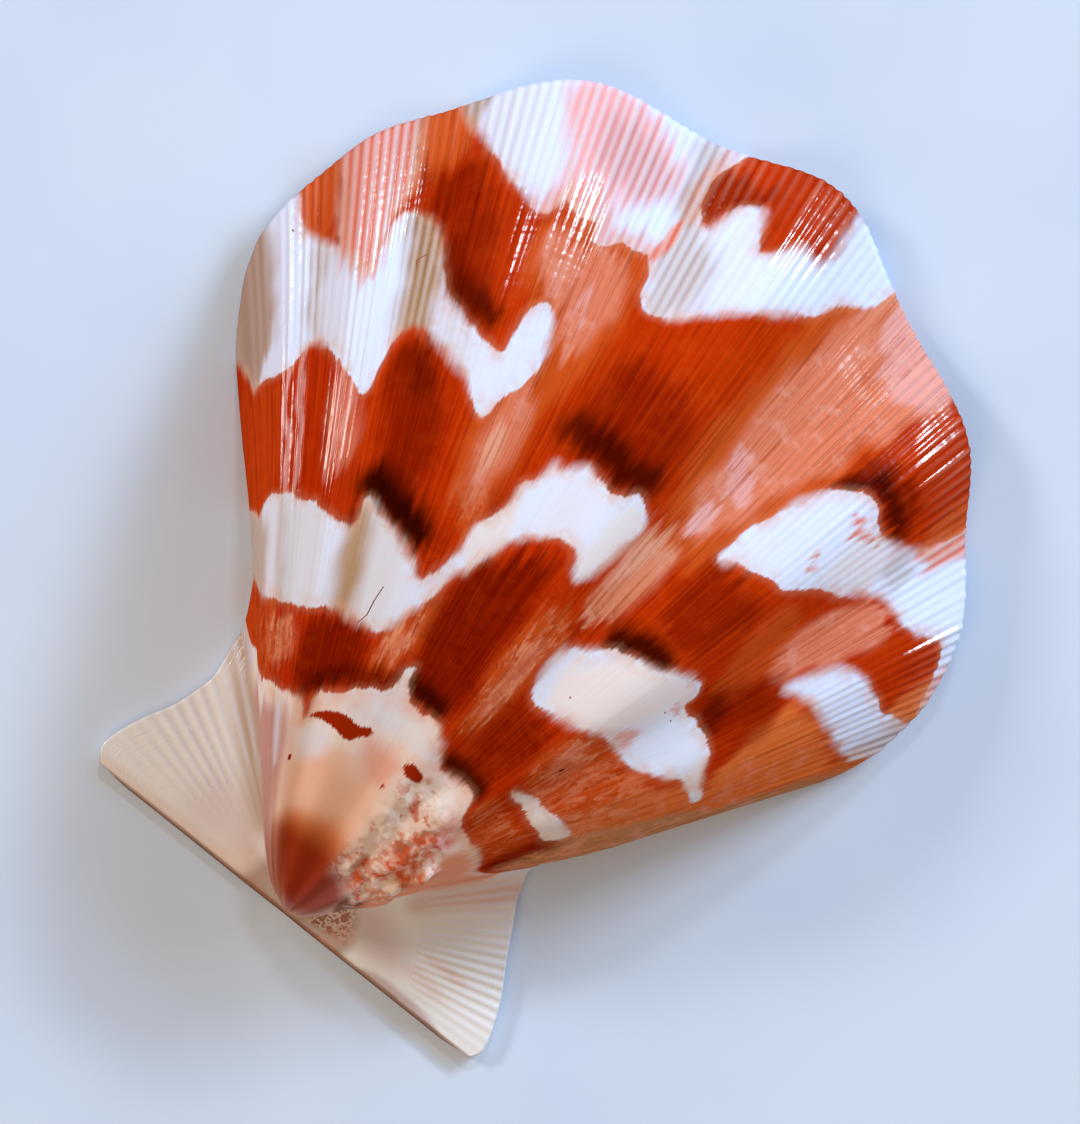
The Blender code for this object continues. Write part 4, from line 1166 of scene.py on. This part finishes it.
class ShellNet(Net):
    """The same for the shell, with what several parts of its material share."""

    def __init__(self, name):
        super().__init__(name)
        self.angle = self.attribute("angle")
        self.stage = self.attribute("stage")
        self.crest = self.attribute("crest")
        self.worn = self.attribute("worn")
        self.outside = self.math("SUBTRACT", 1.0, self.attribute("inside"))
        self.place = self.object_place()
        self.fray = self.grain(3.2, 16.0)
        self.fine_streaks = self.grain(9.0, 9.0)
        coarse_streaks = self.grain(2.6, 5.0, 4.0, 0.6)
        self.streaks = self.math("ADD", self.times(coarse_streaks, 0.6), self.times(self.fine_streaks, 0.4))
        self.in_streaks = self.times(self.ramp(self.streaks, 0.52, 0.36), self.outside)
        self.growth_lines = self.grain(0.10, 105.0, 1.0, 0.4)
        self.mottle = self.noise(self.place, 900.0, 4.0, 0.6)
        self.crust = self.noise(self.place, 900.0, 3.0, 0.5)

    def stretched(self, per_degree, per_stage):
        """The place on the rolled-out shell, stretched along or across it."""
        inputs = {"X": self.times(self.angle, per_degree), "Y": self.times(self.stage, per_stage)}
        return self.add("ShaderNodeCombineXYZ", inputs).outputs[0]

    def grain(self, per_degree, per_stage, detail=2.0, roughness=0.5, distortion=0.0):
        """Noise that runs along or across the shell."""
        return self.noise(self.stretched(per_degree, per_stage), 1.0, detail, roughness, distortion)

    def distance_to(self, first, last):
        """Millimetres to a short straight line on the rolled-out shell between two (angle, stage)."""
        per_degree = math.radians(ROLLED_OUT * first[1])
        ends = [Vector((angle * per_degree, stage * ROLLED_OUT, 0)) for angle, stage in (first, last)]
        along = ends[1] - ends[0]
        offset = self.vector_math("SUBTRACT", {0: self.stretched(per_degree, ROLLED_OUT), 1: ends[0]})[0]
        if along.length > 0:
            unit = along / along.length_squared
            share = self.vector_math("DOT_PRODUCT", {0: offset, 1: unit})["Value"]
            share = self.add("ShaderNodeClamp", {"Value": share}).outputs[0]
            foot = self.vector_math("SCALE", {0: along, "Scale": share})[0]
            offset = self.vector_math("SUBTRACT", {0: offset, 1: foot})[0]
        return self.vector_math("LENGTH", {0: offset})["Value"]


def rgba(pigment):
    return (*linear(pigment), 1)


def coloured_layer(net):
    """The coloured layer, which streaks along the riblets darken and lighten, with painted highlight on
    crests.
    """
    ground = net.attribute("ground", colour=True)
    darker = net.darkened(ground, STREAK_TINT)
    lighter = net.mix(0.45, ground, rgba(FLAME))
    channels = net.add("ShaderNodeSeparateColor", {"Color": ground}).outputs
    vivid = net.ramp(channels["Red"], 0.06, 0.45)
    orange = net.ramp(channels["Green"], 0.045, 0.10)
    fleshy = net.ramp(channels["Green"], 0.10, 0.24)
    ground = net.mix(net.times(net.in_streaks, 0.75), ground, darker)
    ground = net.mix(net.times(net.in_streaks, fleshy, 0.5), ground, rgba(CLAY))
    off_streaks = net.times(net.ramp(net.streaks, 0.50, 0.66), net.outside)
    # Lightening on the riblets' crests here is a painted highlight.
    lighter_share = net.math("MAXIMUM", net.times(off_streaks, 0.8), net.times(net.crest, 0.30))
    ground = net.mix(net.times(lighter_share, vivid), ground, lighter)
    blotch = net.times(net.ramp(net.mottle, 0.50, 0.66), net.outside)
    ground = net.mix(net.times(blotch, 0.35, vivid), ground, lighter)
    ground = net.mix(net.times(blotch, 0.25, fleshy), ground, rgba(BLUSH))
    ground = net.mix(umbo_flecks(net, orange), banded(net, ground), rgba(FLECK))

    # At the margin the crests of the riblets are worn pale, and lightened further as a painted highlight.
    worn_and_highlit_crests = net.times(net.crest, net.crest, net.ramp(net.stage, 0.91, 0.985), 0.22)
    return net.mix(worn_and_highlit_crests, ground, rgba(WORN_AND_HIGHLIGHT_CREST))


def near_umbo(net):
    """How much of the outer side is near the umbo, where bands and flecks are."""
    return net.times(net.outside, net.ramp(net.stage, 0.60, 0.46))


def banded(net, ground):
    """The coloured layer with dark bands along the growth lines, towards the umbo."""
    bands = net.ramp(net.grain(0.42, 120.0, 3.0, 0.6, 0.9), 0.47, 0.36)
    return net.mix(net.times(bands, near_umbo(net), 0.35), ground, net.darkened(ground, BAND_TINT))


def umbo_flecks(net, orange):
    """How much of the coloured layer is flecked, towards the umbo, where it is orange."""
    flecks = net.ramp(net.grain(0.9, 36.0, 5.0, 0.7, 0.6), 0.46, 0.62)
    return net.times(flecks, near_umbo(net), orange, 0.75)


def pale_layer(net, white):
    """The pale layer: faintly streaked, painted shade in grooves, painted highlight on crests, crusts, thin
    edges.
    """
    pale = net.attribute("pale", colour=True)
    pale = net.mix(net.times(net.in_streaks, 0.22), pale, net.darkened(pale, PALE_STREAK_TINT))
    # Painted shade: the grooves between riblets are darkened.
    groove = net.times(net.ramp(net.crest, 0.7, 0.1), net.outside, net.ramp(net.stage, 0.6, 0.9))
    groove = net.times(groove, net.ramp(net.math("ABSOLUTE", net.angle), 44.5, 43.0))
    shaded_pale = net.mix(1.0, pale, net.mix(1.0, pale, (0.2, 0.2, 0.2, 1), "ADD"), "MULTIPLY")
    pale = net.mix(net.times(groove, 0.8), pale, shaded_pale)
    # Painted highlight: the crests of riblets and ear ribs are whitened.
    pale = net.mix(net.times(net.crest, 0.33), pale, rgba(WHITE))
    pale = pitted(net, chalky(net, pale))
    thin = net.times(net.ramp(white, 0.75, 0.0), net.ramp(net.mottle, 0.40, 0.60), 0.55, net.outside)
    pale = net.mix(thin, pale, rgba(THIN_EDGE))

    # Around the umbo it is flushed with pink in places.
    flush = net.ramp(net.noise(net.place, 420.0, 3.0, 0.55), 0.48, 0.62)
    flush = net.times(flush, net.ramp(net.stage, 0.40, 0.30), net.ramp(net.stage, 0.20, 0.26))
    return net.mix(net.times(flush, net.outside, 0.3), pale, rgba(FLUSH))


def chalky(net, pale):
    """The pale layer with its worn crust: crumbs of chalk, and holes between them."""
    crumbs = net.noise(net.place, 1700.0, 3.0, 0.6)
    crumbs = net.math("MULTIPLY_ADD", crumbs, 0.5, net.times(net.crust, 0.5))
    pale = net.mix(net.times(net.ramp(crumbs, 0.49, 0.55), net.worn, 0.8), pale, rgba(CHALK))
    return net.mix(net.times(net.ramp(crumbs, 0.48, 0.42), net.worn, 0.85), pale, rgba(CHALK_HOLE))


def pitted(net, pale):
    """The pale layer with pits in its crust, next to the hinge."""
    walls = net.math("ABSOLUTE", net.math("SUBTRACT", net.noise(net.place, 2900.0), 0.5))
    pits = net.mix(net.ramp(walls, 0.02, 0.09), rgba(PIT_WALL), rgba(PIT_FLOOR))
    return net.mix(net.times(net.worn, net.ramp(net.angle, 48.0, 50.0)), pale, pits)


def shell_colour(net):
    """The pale layer over the coloured one, with scraps, a hair-like crack and specks of dirt."""
    # The edge between the layers wanders, and frays along the riblets.
    ragged = net.math("MULTIPLY_ADD", net.grain(0.55, 24.0, 3.0), 0.50, -0.25)
    ragged = net.math("ADD", ragged, net.math("MULTIPLY_ADD", net.fray, 0.26, -0.13))
    white = net.math("ADD", net.attribute("white"), ragged)
    softness = net.ramp(net.noise(net.place, 260.0), 0.42, 0.66, 0.10, 0.60)
    is_white = net.ramp(net.math("DIVIDE", white, softness), -0.6, 0.8)
    ground = coloured_layer(net)
    fringe = net.mix(0.5, ground, rgba(FRINGE))
    colour = net.mix(net.times(net.ramp(white, -0.42, 0.06), 0.4), ground, fringe)
    colour = net.mix(is_white, colour, pale_layer(net, white))
    scraps = net.math("MULTIPLY_ADD", net.fray, 0.3, net.attribute("scraps"))
    colour = net.mix(net.times(net.ramp(scraps, 0.10, 0.22), net.outside), colour, rgba(SCRAP))
    for pigment, width, first, last in MARKS:
        mark = net.ramp(net.distance_to(first, last), width, 0.5 * width)
        colour = net.mix(net.times(mark, net.outside), colour, rgba(pigment))
    return colour


def shell_relief(net):
    """Growth lines that cross the riblets, and the crust's roughness, as a bumped normal."""
    beads = net.grain(2.2, 90.0, 1.0, 0.4)
    height = net.times(net.math("ADD", net.growth_lines, net.times(beads, 0.5)), LINE_HEIGHT)
    height = net.times(height, net.ramp(net.stage, 0.4, 0.95, 0.3, 1.0))
    height = net.times(height, net.ramp(net.angle, -10.0, 4.0, 0.8, 0.4))
    height = net.times(height, net.math("MULTIPLY_ADD", net.outside, 0.75, 0.25))
    height = net.math("ADD", height, net.times(net.crust, net.worn, CRUST_BUMP_HEIGHT))
    height = net.math("ADD", height, net.times(net.fine_streaks, STREAK_HEIGHT))
    return net.add("ShaderNodeBump", {"Height": height, "Distance": 1.0, "Strength": 0.6}).outputs[0]


def dullness(net):
    """How dull the shell is: in the middle, towards the umbo and where it is worn."""
    middle = net.times(net.ramp(net.angle, -12.0, -10.0), net.ramp(net.angle, 3.0, 1.0))
    middle = net.times(middle, net.ramp(net.stage, 0.86, 0.82))
    return net.math("MAXIMUM", net.math("MAXIMUM", net.ramp(net.stage, 0.62, 0.54), middle), net.worn)


def shell_material():
    """Coloured and pale layers, polished in places, where the small bright windows shine off it."""
    net = ShellNet("shell_glossy")
    net.shade("Base Color", shell_colour(net))
    relief = shell_relief(net)
    net.shade("Normal", relief)
    dull = dullness(net)
    satin = net.math("MULTIPLY_ADD", net.growth_lines, 0.1, 0.35)
    net.shade("Roughness", net.math("ADD", satin, net.times(dull, 0.45)))
    net.shade("Specular IOR Level", 0.0)
    faint = net.times(net.math("SUBTRACT", 1.0, dull), net.outside, 0.05, net.ramp(net.stage, 0.70, 0.80))
    net.shade("Coat Weight", net.math("MAXIMUM", net.attribute("polish"), faint))
    net.shade("Coat Roughness", 0.14)
    net.shade("Coat Normal", relief)
    return net.material


def floor_material():
    """Plain pale table top with the faintest clouding."""
    net = Net("table_top")
    clouds = net.ramp(net.noise(net.object_place(), 45.0, 3.0), 0.35, 0.65)
    net.shade("Base Color", net.mix(clouds, rgba(TABLE_PALE), rgba(TABLE_PALER)))
    net.shade("Roughness", 0.85)
    net.shade("Specular IOR Level", 0.2)
    return net.material


# ------------------------------------------------------------------------- piece, floor and lights

valve = valve_piece()
valve.data.materials.append(shell_material())
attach(valve, "root")
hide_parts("valve")

HALF_FLOOR = 2.0


def table_piece():
    """The table top, in metres."""
    corners = [(x * HALF_FLOOR, y * HALF_FLOOR, 0) for x, y in ((-1, -1), (1, -1), (1, 1), (-1, 1))]
    mesh = bpy.data.meshes.new("table")
    mesh.from_pydata(corners, [], [(0, 1, 2, 3)])
    mesh.materials.append(floor_material())
    return placed("table", mesh)


floor = table_piece()

# The camera looks almost straight down: it leans off the vertical, and the valve's midline is
# turned from upright in the picture, by these degrees. It aims at AIM, in millimetres about the
# beak, and then so many metres to the right and up in the picture.
LEAN_X = 5.0
LEAN_Y = 3.0
TURN = 38.73
CAMERA_DISTANCE = 0.25
VIEW_WIDTH = 0.05056
AIM = (0.0, 18.0)
AIM_OFFSET = (0.00059, 0.00227)
SENSOR_WIDTH = 36.0

towards = Vector((-math.tan(math.radians(LEAN_X)), -math.tan(math.radians(LEAN_Y)), 1)).normalized()
midline = Vector((0, 1, 0))
midline = (midline - midline.dot(towards) * towards).normalized()
across = midline.cross(towards)
turn = math.radians(TURN)
right = math.cos(turn) * across + math.sin(turn) * midline
up = -math.sin(turn) * across + math.cos(turn) * midline
aim = Vector(((AIM[0] + BEAK_AT[0]) * MM, (AIM[1] + BEAK_AT[1]) * MM, 0))
aim += AIM_OFFSET[0] * right + AIM_OFFSET[1] * up


def facing(place, back, upward):
    """Matrix at a place whose Z axis points back and whose Y axis points upward."""
    side = upward.cross(back).normalized()
    top = back.cross(side)
    matrix = Matrix((side, top, back)).transposed().to_4x4()
    matrix.translation = place
    return matrix


camera_data = bpy.data.cameras.new("camera")
camera_data.sensor_fit = "HORIZONTAL"
camera_data.sensor_width = SENSOR_WIDTH
camera_data.lens = SENSOR_WIDTH * CAMERA_DISTANCE / VIEW_WIDTH
camera_data.clip_start = 0.01
camera_data.clip_end = 20.0
camera = placed("camera", camera_data)
camera.matrix_world = facing(aim + CAMERA_DISTANCE * towards, towards, up)
bpy.context.scene.camera = camera


def softbox(name, clock, height, distance, size, strength, colour):
    """A rectangular lamp that faces the shell, in metres and degrees.

    Clock is its bearing, clockwise from the picture's top, and height is its elevation.
    """
    lamp = bpy.data.lights.new(name, "AREA")
    lamp.shape = "RECTANGLE"
    lamp.size, lamp.size_y = size
    lamp.energy = strength * size[0] * size[1] * math.pi
    lamp.color = colour
    bearing = math.radians(clock)
    flat = (math.cos(bearing) * up + math.sin(bearing) * right).normalized()
    direction = math.cos(math.radians(height)) * flat + math.sin(math.radians(height)) * Vector((0, 0, 1))
    direction.normalize()
    box = placed(name, lamp)
    box.matrix_world = facing(direction * distance, direction, Vector((0, 0, 1)))
    return box


DAYLIGHT = (0.75, 0.88, 1.0)
softbox("window", 50, 22, 0.60, (0.195, 0.045), 65.5, DAYLIGHT)
softbox("window_high", 6, 41, 0.60, (0.064, 0.050), 56.0, DAYLIGHT)
softbox("window_left", -60, 32, 0.60, (0.160, 0.090), 30.0, (1.0, 0.95, 0.88))

# The rest is soft light that doesn't shine off the shell: blue from the sky, warm from the room.
soft_boxes = [
    softbox("low_sky", 55, 25, 0.75, (0.66, 0.18), 8.9, (0.40, 0.70, 1.0)),
    softbox("ceiling", -140, 50, 0.40, (0.20, 0.20), 2.2, (1.0, 0.80, 0.58)),
]
for box in soft_boxes:
    box.visible_glossy = False
floor.visible_glossy = False

ROOM_LIGHT = (1.0, 0.67, 0.36, 1)
ROOM_STRENGTH = 0.29
world = bpy.data.worlds.new("studio")
world.use_nodes = True
background = world.node_tree.nodes["Background"]
background.inputs["Color"].default_value = ROOM_LIGHT
background.inputs["Strength"].default_value = ROOM_STRENGTH
world.cycles_visibility.glossy = False
bpy.context.scene.world = world
bpy.context.scene.view_settings.view_transform = "Standard"
